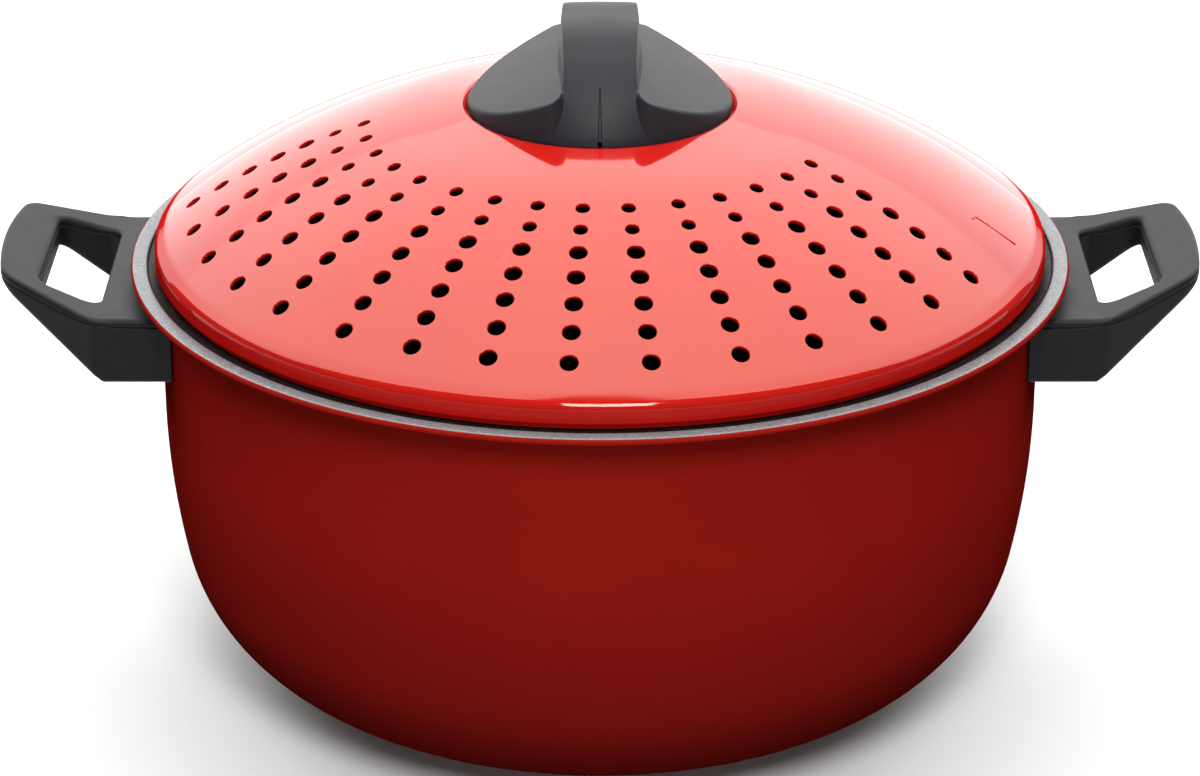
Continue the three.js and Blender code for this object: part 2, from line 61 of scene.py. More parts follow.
# Pot, as in the CAD
CLEARANCE = 0.3 * MM
POT_RADIUS = 121.84 * MM
POT_HEIGHT = 121.2 * MM
POT_WALL = 2.5 * MM
POT_FLOOR = 4 * MM
BELLY_RADIUS = 217.5 * MM
BELLY_ANGLE = math.radians(11.29)
FOOT_RADIUS = 47.93 * MM
FLANGE_WIDTH = 7.76 * MM
FLANGE_THICKNESS = 2.2 * MM
FLANGE_FILLET = 1.6 * MM
LEDGE_WIDTH = 5.7 * MM
LEDGE_SHEET = 1 * MM
RIM_ROUND = 0.8 * MM
DISC_MARGIN = 6 * MM
DISC_THICKNESS = 1.2 * MM
DIMPLE_DEPTH = 2.4 * MM
DIMPLE_REACH = 6.5 * MM
DIMPLE_DROP = 10 * MM
STEP_ROUND = 0.6 * MM  # edge of the ring outside the ledge
STEP_FILLET = 0.4 * MM
COAT = 0.3 * MM  # thickness of the coats on the rim and inside
RIM_COAT_EDGE = math.radians(58)  # where the rim's coat ends on the flange's rounded edge
POT_STEPS = 288

# Lid, as in the CAD
LID_OVERLAP = 3.56 * MM
LID_SHEET = 1.2 * MM
LID_HEIGHT = 42.4 * MM
LIP_HEIGHT = 1.9 * MM
LIP_INSET = 1.3 * MM
LIP_BEND = 0.45 * MM  # folds between skirt and lip
SKIRT_HEIGHT = 6.85 * MM
SHOULDER_RADIUS = 3 * MM
SEAT_RADIUS = 46.6 * MM
CROWN_MARGIN = 14.9 * MM  # seat's edge to where the dome starts to flatten
CROWN_SLOPE = 0.22  # rise of the lid just outside the knob
CROWN_STEPS = 24
CROWN_RISE = 1.1 * MM  # knob's foot to the edge that the lid forms round it
CROWN_GAP = 1.3 * MM  # knob's wall to that edge
SCREW_HOLE = 2.8 * MM
LID_STEPS = 192

# Strainer holes, as in the CAD
FIELDS = 3
COLUMNS = 5
RINGS = 7
SMALL_RINGS = 2
FIELD_PITCH = math.radians(54)
COLUMN_PITCH = math.radians(10.55)
PATTERN_CENTRE = math.radians(-14.5)
RING_PITCH = 7.95 * MM
EDGE_MARGIN = 10.5 * MM
LARGE_HOLE = 4.8 * MM
SMALL_HOLE = 3.8 * MM
HOLE_ROUND = 0.22 * MM  # enamel drawn round the edge of each hole
HOLE_STEPS = 16
HOLE_CLEAR = 0.9 * MM  # least distance of the dome's other points from a hole's rim
DOME_PITCH = 4 * MM  # between rings of those points
DOME_INNER = 0.5 * MM  # crown to the perforated part of the dome
DOME_OUTER = 5 * MM  # that part to the skirt
ON_DOME = 0.001 * MM

# Index mark on the lid, near the right handle
MARK_ANGLE = math.radians(76.5)
MARK_INNER = 104 * MM
MARK_OUTER = 115.2 * MM
MARK_TICK = 2.2 * MM
MARK_WIDTH = 0.8 * MM
MARK_HEIGHT = 0.3 * MM

# Sizes that follow from those
pot_inner = POT_RADIUS - POT_WALL
belly_centre = POT_RADIUS - BELLY_RADIUS
belly_foot = POT_RADIUS - BELLY_RADIUS * (1 - math.cos(BELLY_ANGLE))
under_flat = belly_foot - FOOT_RADIUS * math.cos(BELLY_ANGLE)
belly_top = FOOT_RADIUS * (1 - math.sin(BELLY_ANGLE)) + BELLY_RADIUS * math.sin(BELLY_ANGLE)
disc_radius = under_flat - DISC_MARGIN
lid_radius = pot_inner + LID_OVERLAP
ledge_z = POT_HEIGHT - FLANGE_THICKNESS + LEDGE_SHEET
step_r = pot_inner + LEDGE_WIDTH
lid_bottom = ledge_z + CLEARANCE
lip_top = lid_bottom + LIP_HEIGHT
skirt_top = lid_bottom + SKIRT_HEIGHT
seat_z = lid_bottom + LID_HEIGHT
dome_squares = SEAT_RADIUS**2 + seat_z**2 - lid_radius**2 - skirt_top**2
dome_centre = dome_squares / (2 * (seat_z - skirt_top))
dome_radius = math.hypot(SEAT_RADIUS, seat_z - dome_centre)
knob_bottom = seat_z + CLEARANCE


# Meshes

def arc(centre_r, centre_z, radius, start, end, steps):
    """Points (radius, height) on a circle, both ends included."""
    angles = [start + (end - start) * i / steps for i in range(steps + 1)]
    return [(centre_r + radius * math.cos(a), centre_z + radius * math.sin(a)) for a in angles]


def curve(start, bend, end, steps=10):
    """Points on a quadratic curve, without its last."""
    start, bend, end = Vector(start), Vector(bend), Vector(end)
    shares = [i / steps for i in range(steps)]
    return [tuple(start.lerp(bend, s).lerp(bend.lerp(end, s), s)) for s in shares]


def rising(radius, low, high, steps):
    """Points up a straight wall, both ends included."""
    return [(radius, low + (high - low) * i / steps) for i in range(steps + 1)]


def round_point(radius, angle, z):
    return Vector((radius * math.sin(angle), -radius * math.cos(angle), z))


def bridge(bm, low, high):
    """Faces between two rings of points; a ring of one point is a pole."""
    count = max(len(low), len(high))
    if count == 1:
        return
    for i in range(count):
        j = (i + 1) % count
        corners = [low[i % len(low)], low[j % len(low)], high[j % len(high)], high[i % len(high)]]
        bm.faces.new(dict.fromkeys(corners))


def turn(bm, section, steps, closed=True):
    """Turns a section of (radius, height) points about the pot's axis."""
    rings = []
    for radius, z in section:
        count = 1 if radius < POLE_RADIUS else steps
        rings.append([bm.verts.new(round_point(radius, math.tau * i / count, z)) for i in range(count)])
    follow = rings[1:] + rings[:1] if closed else rings[1:]
    for low, high in zip(rings, follow):
        bridge(bm, low, high)


def new_object(name, mesh, material):
    mesh.materials.clear()
    mesh.materials.append(material)
    piece = bpy.data.objects.new(name, mesh)
    bpy.context.scene.collection.objects.link(piece)
    return piece


def mesh_of(bm, name, crease=35):
    """A finished mesh: doubles merged, faces outwards, smooth but for edges sharper than the crease."""
    bmesh.ops.remove_doubles(bm, verts=bm.verts, dist=MERGE_DISTANCE)
    bmesh.ops.recalc_face_normals(bm, faces=bm.faces)
    mesh = bpy.data.meshes.new(name)
    bm.to_mesh(mesh)
    bm.free()
    mesh.shade_smooth()
    mesh.set_sharp_from_angle(angle=math.radians(crease))
    return mesh


def dress(name, mesh, body, slot, *nodes):
    """Puts a piece in its finish on its body, in the place of the CAD nodes that it stands for."""
    piece = new_object(name, mesh, finishes[slot])
    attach(piece, body)
    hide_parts(*nodes)


# Moulded shapes, as distances to a surface: below zero inside

def meet(a, b, radius):
    """What lies in both shapes, with the edge between them rounded."""
    over = np.hypot(np.maximum(a + radius, 0), np.maximum(b + radius, 0))
    return np.minimum(np.maximum(a, b), -radius) + over


def join(a, b, radius):
    """What lies in either shape, with a fillet between them."""
    return -meet(-a, -b, radius)


def segment_distance(start, end, x, y):
    """Distance from the straight line between two points."""
    (x0, y0), (x1, y1) = start, end
    run, rise = x1 - x0, y1 - y0
    along = np.clip(((x - x0) * run + (y - y0) * rise) / (run * run + rise * rise), 0, 1)
    return np.hypot(x - x0 - along * run, y - y0 - along * rise)


def outline_distance(corners, x, y):
    """Signed distance from a closed outline in plan."""
    nearest = np.inf
    inside = False
    for start, end in zip(corners, corners[1:] + corners[:1]):
        nearest = np.minimum(nearest, segment_distance(start, end, x, y))
        (x0, y0), (x1, y1) = start, end
        if y1 != y0:
            before = x < x0 + (y - y0) * (x1 - x0) / (y1 - y0)
            inside = inside ^ (((y0 > y) != (y1 > y)) & before)
    return np.where(inside, -nearest, nearest)


def grid(low, high, pitch):
    """Even steps along each axis of the box from low to high."""
    return [np.arange(a, b + pitch, pitch) for a, b in zip(low, high)]


def moulded(distance, axes):
    """Points, outward directions and faces of a moulded shape, found on a grid."""
    field = distance(*np.meshgrid(*axes, indexing="ij", sparse=True))
    cells = tuple(len(a) - 1 for a in axes)
    total = np.zeros(cells + (3,))
    count = np.zeros(cells)
    for axis, side in itertools.product(range(3), itertools.product((0, 1), repeat=2)):
        start = list(side)
        start.insert(axis, 0)
        end = list(side)
        end.insert(axis, 1)
        near = field[tuple(slice(s, s + n) for s, n in zip(start, cells))]
        far = field[tuple(slice(s, s + n) for s, n in zip(end, cells))]
        crossed = (near < 0) != (far < 0)
        share = near / np.where(crossed, near - far, 1)
        for k in range(3):
            total[..., k] += crossed * (share if k == axis else start[k])
        count += crossed
    used = count > 0
    number = np.full(cells, -1)
    number[used] = np.arange(used.sum())
    places = np.argwhere(used) + total[used] / count[used][:, None]
    points = np.stack([np.interp(p, range(len(a)), a) for p, a in zip(places.T, axes)], axis=1)
    reach = np.stack([np.diff(a)[c] for c, a in zip(np.argwhere(used).T, axes)], axis=1) / 2

    faces = []
    for axis in range(3):
        u, v = (axis + 1) % 3, (axis + 2) % 3
        window = [slice(1, -1)] * 3
        window[axis] = slice(0, -1)
        near = field[tuple(window)]
        window[axis] = slice(1, None)
        far = field[tuple(window)]
        crossed = (near < 0) != (far < 0)
        base = np.argwhere(crossed)
        base[:, u] += 1
        base[:, v] += 1
        quads = []
        for back_u, back_v in ((1, 1), (0, 1), (0, 0), (1, 0)):
            cell = base.copy()
            cell[:, u] -= back_u
            cell[:, v] -= back_v
            quads.append(number[tuple(cell.T)])
        quads = np.stack(quads, axis=1)
        inwards = near[crossed] >= 0
        quads[inwards] = quads[inwards][:, ::-1]
        faces.append(quads)

    for _ in range(SETTLE_ROUNDS):
        slope = np.stack([
            distance(*(points + offset).T) - distance(*(points - offset).T)
            for offset in np.eye(3) * SLOPE_STEP
        ], axis=1) / (2 * SLOPE_STEP)
        steep = np.maximum((slope**2).sum(axis=1, keepdims=True), LEAST_STEEPNESS)
        shift = slope * (distance(*points.T)[:, None] / steep)
        points = points - np.clip(shift, -reach, reach)
    outward = slope / np.sqrt(steep)
    return points, outward, np.concatenate(faces)


def moulded_mesh(name, points, outward, faces):
    mesh = bpy.data.meshes.new(name)
    mesh.from_pydata(points.tolist(), [], faces.tolist())
    mesh.shade_smooth()
    mesh.normals_split_custom_set_from_vertices(outward.tolist())
    return mesh


# Materials

class Graph:
    """A node tree under construction."""

    def __init__(self, tree):
        self.nodes = tree.nodes
        self.links = tree.links

    def feed(self, socket, value):
        if isinstance(value, bpy.types.NodeSocket):
            self.links.new(value, socket)
        else:
            socket.default_value = value

    def node(self, kind, output, inputs, **settings):
        node = self.nodes.new(kind)
        for setting, value in settings.items():
            setattr(node, setting, value)
        for label, value in inputs.items():
            self.feed(node.inputs[label], value)
        return node.outputs[output]


class Finish(Graph):
    """A procedural finish under construction."""

    def __init__(self, name, **constants):
        self.material = bpy.data.materials.new(name)
        self.material.use_nodes = True
        super().__init__(self.material.node_tree)
        self.shader = self.nodes["Principled BSDF"]
        for socket, value in constants.items():
            self.set(socket.replace("_", " "), value)
        self.place = self.node("ShaderNodeTexCoord", "Object", {})

    def set(self, socket, value):
        self.feed(self.shader.inputs[socket], value)

    def stretched(self, scale):
        return self.node("ShaderNodeMapping", "Vector", {"Vector": self.place, "Scale": scale})

    def noise(self, per_metre, detail, roughness=0.5, place=None):
        return self.node("ShaderNodeTexNoise", "Fac", {
            "Vector": place or self.place,
            "Scale": per_metre,
            "Detail": detail,
            "Roughness": roughness,
        })

    def cloud(self):
        """Soft patches, from nought to one."""
        return self.spread(self.noise(38, 3), 0.3, 0.7, 0, 1)

    def flecks(self, per_metre, low, high):
        """White specks, one in each cell whose chance lies above low."""
        cell = self.node("ShaderNodeTexVoronoi", "Color", {"Vector": self.place, "Scale": per_metre})
        chance = self.node("ShaderNodeSeparateColor", "Red", {"Color": cell})
        return self.spread(chance, low, high, 0, 1)

    def spread(self, value, low, high, out_low, out_high):
        return self.node("ShaderNodeMapRange", "Result", {
            "Value": value,
            "From Min": low,
            "From Max": high,
            "To Min": out_low,
            "To Max": out_high,
        })

    def blend(self, share, first, second):
        node = self.nodes.new("ShaderNodeMix")
        node.data_type = "RGBA"
        for name, colour in (("A", first), ("B", second)):
            socket = next(s for s in node.inputs if s.name == name and s.type == "RGBA")
            self.feed(socket, (*colour, 1) if isinstance(colour, tuple) else colour)
        self.feed(node.inputs["Factor"], share)
        return next(s for s in node.outputs if s.type == "RGBA")

    def part(self, vector, axis):
        return self.node("ShaderNodeSeparateXYZ", axis, {"Vector": vector})

    def radius(self):
        """Distance from the pot's axis."""
        flat = self.stretched((1, 1, 0))
        return self.node("ShaderNodeVectorMath", "Value", {0: flat}, operation="LENGTH")

    def glance(self):
        """Nought where the surface faces the eye, one where it is seen edge on."""
        return self.node("ShaderNodeLayerWeight", "Facing", {})

    def colour(self, value):
        self.set("Base Color", value)

    def roughness(self, value):
        self.set("Roughness", value)

    def gloss(self, value):
        self.set("Specular IOR Level", value)

    def relief(self, height, depth, strength):
        bump = {"Height": height, "Distance": depth, "Strength": strength}
        self.set("Normal", self.node("ShaderNodeBump", "Normal", bump))


def pot_red():
    """Satin red enamel, darker towards the foot: that darkening is painted shade, not the enamel's own
    colour.
    """
    finish = Finish("pot_enamel_painted_shade", Specular_IOR_Level=0.0)
    upper = finish.blend(finish.cloud(), (0.235, 0.0085, 0.0056), (0.22, 0.0079, 0.0052))
    # Painted shade: the colour deepens from 80 mm down to the foot, as if the light below the pot were dim.
    height = finish.spread(finish.part(finish.place, "Z"), 2 * MM, 80 * MM, 0, 1)
    finish.colour(finish.blend(height, (0.15, 0.0068, 0.0052), upper))
    finish.roughness(finish.spread(finish.noise(90, 4), 0.35, 0.7, 0.4, 0.5))
    finish.relief(finish.noise(420, 2), 0.02 * MM, 0.3)
    return finish.material


def lid_red():
    """Gloss enamel, duller on the skirt and where it is seen edge on."""
    finish = Finish("lid_red_enamel", Specular_Tint=(1, 1, 0.82, 1))
    finish.colour(finish.blend(finish.cloud(), (0.365, 0.0062, 0.0045), (0.34, 0.0057, 0.0042)))
    finish.roughness(finish.spread(finish.noise(90, 4), 0.35, 0.7, 0.05, 0.08))
    dome = finish.spread(finish.glance(), 0.9, 0.96, 0.5, 0)
    shoulder = finish.spread(finish.glance(), 0.4, 0.75, 0.42, 0)
    upper = finish.spread(finish.radius(), lid_radius - 4 * MM, lid_radius - 2.5 * MM, dome, shoulder)
    skirt = finish.spread(finish.glance(), 0.1, 0.5, 0.08, 0)
    height = finish.part(finish.place, "Z")
    finish.gloss(finish.spread(height, skirt_top - 1.5 * MM, skirt_top - 0.5 * MM, skirt, upper))
    finish.relief(finish.noise(420, 2), 0.02 * MM, 0.15)
    return finish.material


def speckled_coat(name, gloss, shade, pale, bright, dark):
    finish = Finish(name, Specular_IOR_Level=gloss)
    cloud = finish.blend(finish.noise(60, 3), shade, pale)
    flecked = finish.blend(finish.flecks(2600, 0.88, 0.92), cloud, bright)
    finish.colour(finish.blend(finish.flecks(1900, 0.9, 0.93), flecked, dark))
    finish.roughness(finish.spread(finish.noise(700, 3), 0.3, 0.7, 0.3, 0.42))
    finish.relief(finish.noise(1500, 3), 0.03 * MM, 0.3)
    return finish.material


def rim_grey():
    shades = (0.105, 0.105, 0.11), (0.118, 0.118, 0.123)
    return speckled_coat("rim_grey_coat", 0.45, *shades, (0.19, 0.19, 0.195), (0.07, 0.07, 0.074))


def nonstick_lining_with_painted_shade():
    # A real non-stick coat, but made near-black with a wine tint as painted shade, so the gap between the
    # lid's skirt and the rim reads as deep shadow.
    shades = (0.012, 0.007, 0.008), (0.016, 0.01, 0.011)
    return speckled_coat("nonstick_lining_with_painted_shade", 0.05, *shades, (0.035, 0.03, 0.031), (0.008, 0.005, 0.006))


def soft_plastic(name, gloss, shade, pale):
    finish = Finish(name, Specular_IOR_Level=gloss)
    finish.colour(finish.blend(finish.noise(55, 4), shade, pale))
    finish.roughness(finish.spread(finish.noise(130, 4), 0.3, 0.7, 0.5, 0.54))
    finish.relief(finish.noise(2600, 3, 0.6), 0.05 * MM, 0.35)
    return finish.material


def plain_steel():
    finish = Finish("brushed_steel", Metallic=1.0)
    brushed = finish.noise(300, 5, 0.65, finish.stretched((1, 1, 24)))
    finish.colour(finish.blend(brushed, (0.5, 0.5, 0.51), (0.62, 0.62, 0.63)))
    finish.roughness(finish.spread(brushed, 0.3, 0.7, 0.24, 0.4))
    finish.relief(brushed, 0.02 * MM, 0.3)
    return finish.material


# One finish for each material slot of the record
finishes = {
    "red_enamel": pot_red(),
    "lid_enamel": lid_red(),
    "rim": rim_grey(),
    "lining": nonstick_lining_with_painted_shade(),
    "handle_plastic": soft_plastic(
        "handle_soft_plastic", 0.2, (0.0045, 0.0044, 0.006), (0.0052, 0.0051, 0.007),
    ),
    "knob_plastic": soft_plastic(
        "knob_soft_plastic", 0.23, (0.0115, 0.0112, 0.0145), (0.0128, 0.0125, 0.016),
    ),
    "steel": plain_steel(),
}


# Pot

def rim_face(depth):
    """Section of the rim's coat, from the flange's edge to the step down to the ledge."""
    edge = FLANGE_THICKNESS / 2
    return [
        *arc(POT_RADIUS + FLANGE_WIDTH - edge, POT_HEIGHT - edge, edge - depth, RIM_COAT_EDGE, QUARTER, 6),
        *arc(step_r + STEP_ROUND, POT_HEIGHT - STEP_ROUND, STEP_ROUND - depth, QUARTER, math.pi, 5),
    ]


def lining_face(depth):
    """Section of the lining, from the step round the ledge to the middle of the floor."""
    lift = POT_FLOOR - POT_WALL
    wall_top = ledge_z - RIM_ROUND
    floor_round = FOOT_RADIUS - POT_WALL + depth
    return [
        (step_r + depth, POT_HEIGHT - STEP_ROUND),
        *arc(step_r - STEP_FILLET, ledge_z + STEP_FILLET, STEP_FILLET + depth, 0, -QUARTER, 4),
        *arc(pot_inner + RIM_ROUND, wall_top, RIM_ROUND - depth, QUARTER, math.pi, 6),
        *rising(pot_inner + depth, belly_top + lift, wall_top, 22)[-2:0:-1],
        *arc(belly_centre, belly_top + lift, BELLY_RADIUS - POT_WALL + depth, 0, -BELLY_ANGLE, 10),
        *arc(under_flat, FOOT_RADIUS + lift, floor_round, -BELLY_ANGLE, -QUARTER, 24)[1:],
        (under_flat / 2, POT_FLOOR - depth),
        (0, POT_FLOOR - depth),
    ]


def outer_face():
    """Section of the enamelled side, from the middle of the underside to the flange's edge."""
    edge = FLANGE_THICKNESS / 2
    flange_under = POT_HEIGHT - FLANGE_THICKNESS
    fillet_z = flange_under - FLANGE_FILLET
    recess = disc_radius + CLEARANCE
    recess_top = DISC_THICKNESS + CLEARANCE
    return [
        (0, recess_top),
        (recess, recess_top),
        (recess, 0),
        *arc(under_flat, FOOT_RADIUS, FOOT_RADIUS, -QUARTER, -BELLY_ANGLE, 30),
        *arc(belly_centre, belly_top, BELLY_RADIUS, -BELLY_ANGLE, 0, 12)[1:],
        *rising(POT_RADIUS, belly_top, fillet_z, 22)[1:-1],
        *arc(POT_RADIUS + FLANGE_FILLET, fillet_z, FLANGE_FILLET, math.pi, QUARTER, 6),
        *arc(POT_RADIUS + FLANGE_WIDTH - edge, POT_HEIGHT - edge, edge, -QUARTER, RIM_COAT_EDGE, 6),
    ]


def press_dimples(bm):
    """Pushes the wall in behind each handle, where the lid's tabs catch."""
    for vert in bm.verts:
        radius = vert.co.xy.length
        if radius < pot_inner - MM or radius > POT_RADIUS + MM:
            continue
        away = math.hypot(vert.co.y, vert.co.z - POT_HEIGHT + DIMPLE_DROP) / DIMPLE_REACH
        if away < 1:
            depth = DIMPLE_DEPTH * (1 - away**2) ** 2
            vert.co.xy *= (radius - depth) / radius


def pot():
    shell = bmesh.new()
    turn(shell, outer_face() + rim_face(COAT) + lining_face(COAT), POT_STEPS)
    press_dimples(shell)
    dress("pot_shell", mesh_of(shell, "pot_shell"), "pot", "red_enamel", "pot_body")
    for name, face, slot in (("pot_rim", rim_face, "rim"), ("pot_lining", lining_face, "lining")):
        coat = bmesh.new()
        turn(coat, face(0) + face(COAT)[::-1], POT_STEPS)
        press_dimples(coat)
        dress(name, mesh_of(coat, name), "pot", slot, "pot_body")


# Lid

def dome_z(radius, inset=0.0):
    return dome_centre + math.sqrt((dome_radius - inset) ** 2 - radius**2)


def holes():
    """Each strainer hole as (turn of its axis, half width)."""
    for field, column, row in itertools.product(range(FIELDS), range(COLUMNS), range(RINGS)):
        from_front = (
            PATTERN_CENTRE
            + (field - (FIELDS - 1) / 2) * FIELD_PITCH
            + (column - (COLUMNS - 1) / 2) * COLUMN_PITCH
        )
        lean = math.asin((lid_radius - EDGE_MARGIN - row * RING_PITCH) / dome_radius)
        width = LARGE_HOLE if row < RINGS - SMALL_RINGS else SMALL_HOLE
        yield Euler((lean, 0, from_front)).to_matrix(), width / 2


def hole_edge(half_width, sphere):
    """Points where a hole's rounded rim meets a face of the dome, before they are turned into place."""
    reach = half_width + HOLE_ROUND
    height = math.sqrt(sphere**2 - reach**2)
    return [round_point(reach, math.tau * i / HOLE_STEPS, height) for i in range(HOLE_STEPS)]


def hole_rim_mesh(name, width):
    """Rounded edge and wall of one strainer hole, standing on Z at the dome's radius."""
    half = width / 2
    reach = half + HOLE_ROUND
    top = math.sqrt(dome_radius**2 - reach**2)
    bottom = math.sqrt((dome_radius - LID_SHEET) ** 2 - reach**2)
    bm = bmesh.new()
    turn(bm, [
        *arc(reach, bottom + HOLE_ROUND, HOLE_ROUND, 3 * QUARTER, math.pi, 1),
        *arc(reach, top - HOLE_ROUND, HOLE_ROUND, math.pi, QUARTER, 2),
    ], HOLE_STEPS, closed=False)
    mesh = bpy.data.meshes.new(name)
    bm.to_mesh(mesh)
    bm.free()
    return mesh


def perforated_face(bm, inset, inner, outer):
    """Dome between two radii, with an opening for each strainer hole."""
    sphere = dome_radius - inset
    points = []
    edges = []
    loop_of = []

    def add_loop(loop):
        first = len(points)
        points.extend(loop)
        edges.extend((first + i, first + (i + 1) % len(loop)) for i in range(len(loop)))
        loop_of.extend([first] * len(loop))

    for radius in (inner, outer):
        add_loop([round_point(radius, math.tau * i / LID_STEPS, 0).xy for i in range(LID_STEPS)])
    centres = []
    for axis, half in holes():
        add_loop([(axis @ point).xy for point in hole_edge(half, sphere)])
        centres.append(((axis @ Vector((0, 0, sphere))).xy, half + HOLE_ROUND + HOLE_CLEAR))
    rows = round((outer - inner) / DOME_PITCH)
    for row in range(1, rows):
        radius = inner + (outer - inner) * row / rows
        for i in range(LID_STEPS):
            point = round_point(radius, math.tau * (i + row % 2 / 2) / LID_STEPS, 0).xy
            if all((point - centre).length > reach for centre, reach in centres):
                points.append(point)
                loop_of.append(None)
    flat, _, faces, origins, _, _ = delaunay_2d_cdt(points, edges, [], 0, PLAN_TOLERANCE)
    verts = [bm.verts.new((*p, dome_centre + math.sqrt(sphere**2 - p.length_squared))) for p in flat]
    loops = [loop_of[origin[0]] for origin in origins]
    for face in faces:
        kinds = {loops[i] for i in face}
        if len(kinds) > 1 or None in kinds:
            bm.faces.new([verts[i] for i in face])
    for vert in [v for v in verts if not v.link_faces]:
        bm.verts.remove(vert)


def lid_section(inset, inner, outer):
    """One face of the lid as two sections: lip to dome, and dome to the knob's seat."""
    sphere = dome_radius - inset
    round_r = lid_radius - SHOULDER_RADIUS
    round_z = dome_centre + math.sqrt((dome_radius - SHOULDER_RADIUS) ** 2 - round_r**2)
    shoulder = math.atan2(round_z - dome_centre, round_r)
    seat = seat_z - inset
    lip_r = lid_radius - LIP_INSET - inset
    skirt_r = lid_radius - inset
    fold = lip_top + inset
    crown_r = SEAT_RADIUS + CROWN_MARGIN
    crown_z = dome_z(crown_r, inset)
    dome_slope = crown_r / (crown_z - dome_centre)
    edge_r = KNOB_RADIUS + CROWN_GAP
    edge_z = knob_bottom + CROWN_RISE - inset
    edge_start = (edge_r + CROWN_GAP / 4, edge_z - CROWN_SLOPE * CROWN_GAP / 4)
    run = crown_r - edge_r
    mean = (edge_z - crown_z) / run
    dip = 3 * mean - 2 * dome_slope - CROWN_SLOPE
    lift = dome_slope + CROWN_SLOPE - 2 * mean
    shares = [i / CROWN_STEPS for i in range(CROWN_STEPS)]
    skirt = [
        (lip_r, lid_bottom + LID_SHEET / 2),
        *curve((lip_r, fold - LIP_BEND), (lip_r, fold), (lip_r + LIP_BEND, fold), 4),
        (lip_r + LIP_BEND, fold),
        *curve((skirt_r - LIP_BEND, fold), (skirt_r, fold), (skirt_r, fold + LIP_BEND), 4),
        *rising(skirt_r, fold + LIP_BEND, round_z, 3)[:-1],
        *arc(round_r, round_z, SHOULDER_RADIUS - inset, 0, shoulder, 8),
        *arc(0, dome_centre, sphere, shoulder, math.acos(outer / sphere), 3)[1:],
    ]
    crown = [
        (inner, dome_z(inner, inset)),
        *(
            (crown_r - run * s, crown_z + run * (dome_slope * s + dip * s**2 + lift * s**3))
            for s in shares
        ),
        *curve(edge_start, (edge_r, edge_z), (KNOB_RADIUS, seat), 6),
        (KNOB_RADIUS, seat),
        (SEAT_RADIUS / 2, seat),
        (SCREW_HOLE, seat),
    ]
    return skirt, crown


class Tree(Graph):
    """A Geometry Nodes tree under construction, with a named input for each size."""

    def __init__(self, name, inputs):
        self.group = bpy.data.node_groups.new(name, "GeometryNodeTree")
        super().__init__(self.group)
        interface = self.group.interface
        self.sockets = {}
        for label, kind in inputs.items():
            socket = interface.new_socket(label, in_out="INPUT", socket_type=f"NodeSocket{kind}")
            self.sockets[label] = socket.identifier
        interface.new_socket("Mesh", in_out="OUTPUT", socket_type="NodeSocketGeometry")
        self.size = self.nodes.new("NodeGroupInput").outputs

    def maths(self, operation, *values):
        return self.node("ShaderNodeMath", "Value", dict(enumerate(values)), operation=operation)

    def vector(self, x, y, z):
        return self.node("ShaderNodeCombineXYZ", "Vector", {"X": x, "Y": y, "Z": z})

    def index(self):
        return self.node("GeometryNodeInputIndex", "Index", {})

    def copies(self, label, points, angles, chosen=True):
        """Copies of an input object on the points, turned by the angles."""
        return self.node("GeometryNodeInstanceOnPoints", "Instances", {
            "Points": points,
            "Selection": chosen,
            "Instance": self.node("GeometryNodeObjectInfo", "Geometry", {"Object": self.size[label]}),
            "Rotation": self.node("FunctionNodeEulerToRotation", "Rotation", {"Euler": angles}),
        })

    def close(self, *geometries):
        """Ends the tree: everything joined, made real and given its finish."""
        together = self.nodes.new("GeometryNodeJoinGeometry")
        for geometry in geometries:
            self.feed(together.inputs["Geometry"], geometry)
        real = self.node("GeometryNodeRealizeInstances", "Geometry", {
            "Geometry": together.outputs["Geometry"],
        })
        painted = self.node("GeometryNodeSetMaterial", "Geometry", {
            "Geometry": real,
            "Material": self.size["Finish"],
        })
        self.feed(self.nodes.new("NodeGroupOutput").inputs["Mesh"], painted)

    def grow(self, values):
        """Plain mesh of what the tree makes from the named values."""
        host = bpy.data.objects.new("host", bpy.data.meshes.new("host"))
        bpy.context.scene.collection.objects.link(host)
        modifier = host.modifiers.new("grow", "NODES")
        modifier.node_group = self.group
        for label, value in values.items():
            modifier[self.sockets[label]] = value
        graph = bpy.context.evaluated_depsgraph_get()
        mesh = bpy.data.meshes.new_from_object(host.evaluated_get(graph))
        host.modifiers.remove(modifier)
        bpy.data.objects.remove(host)
        return mesh


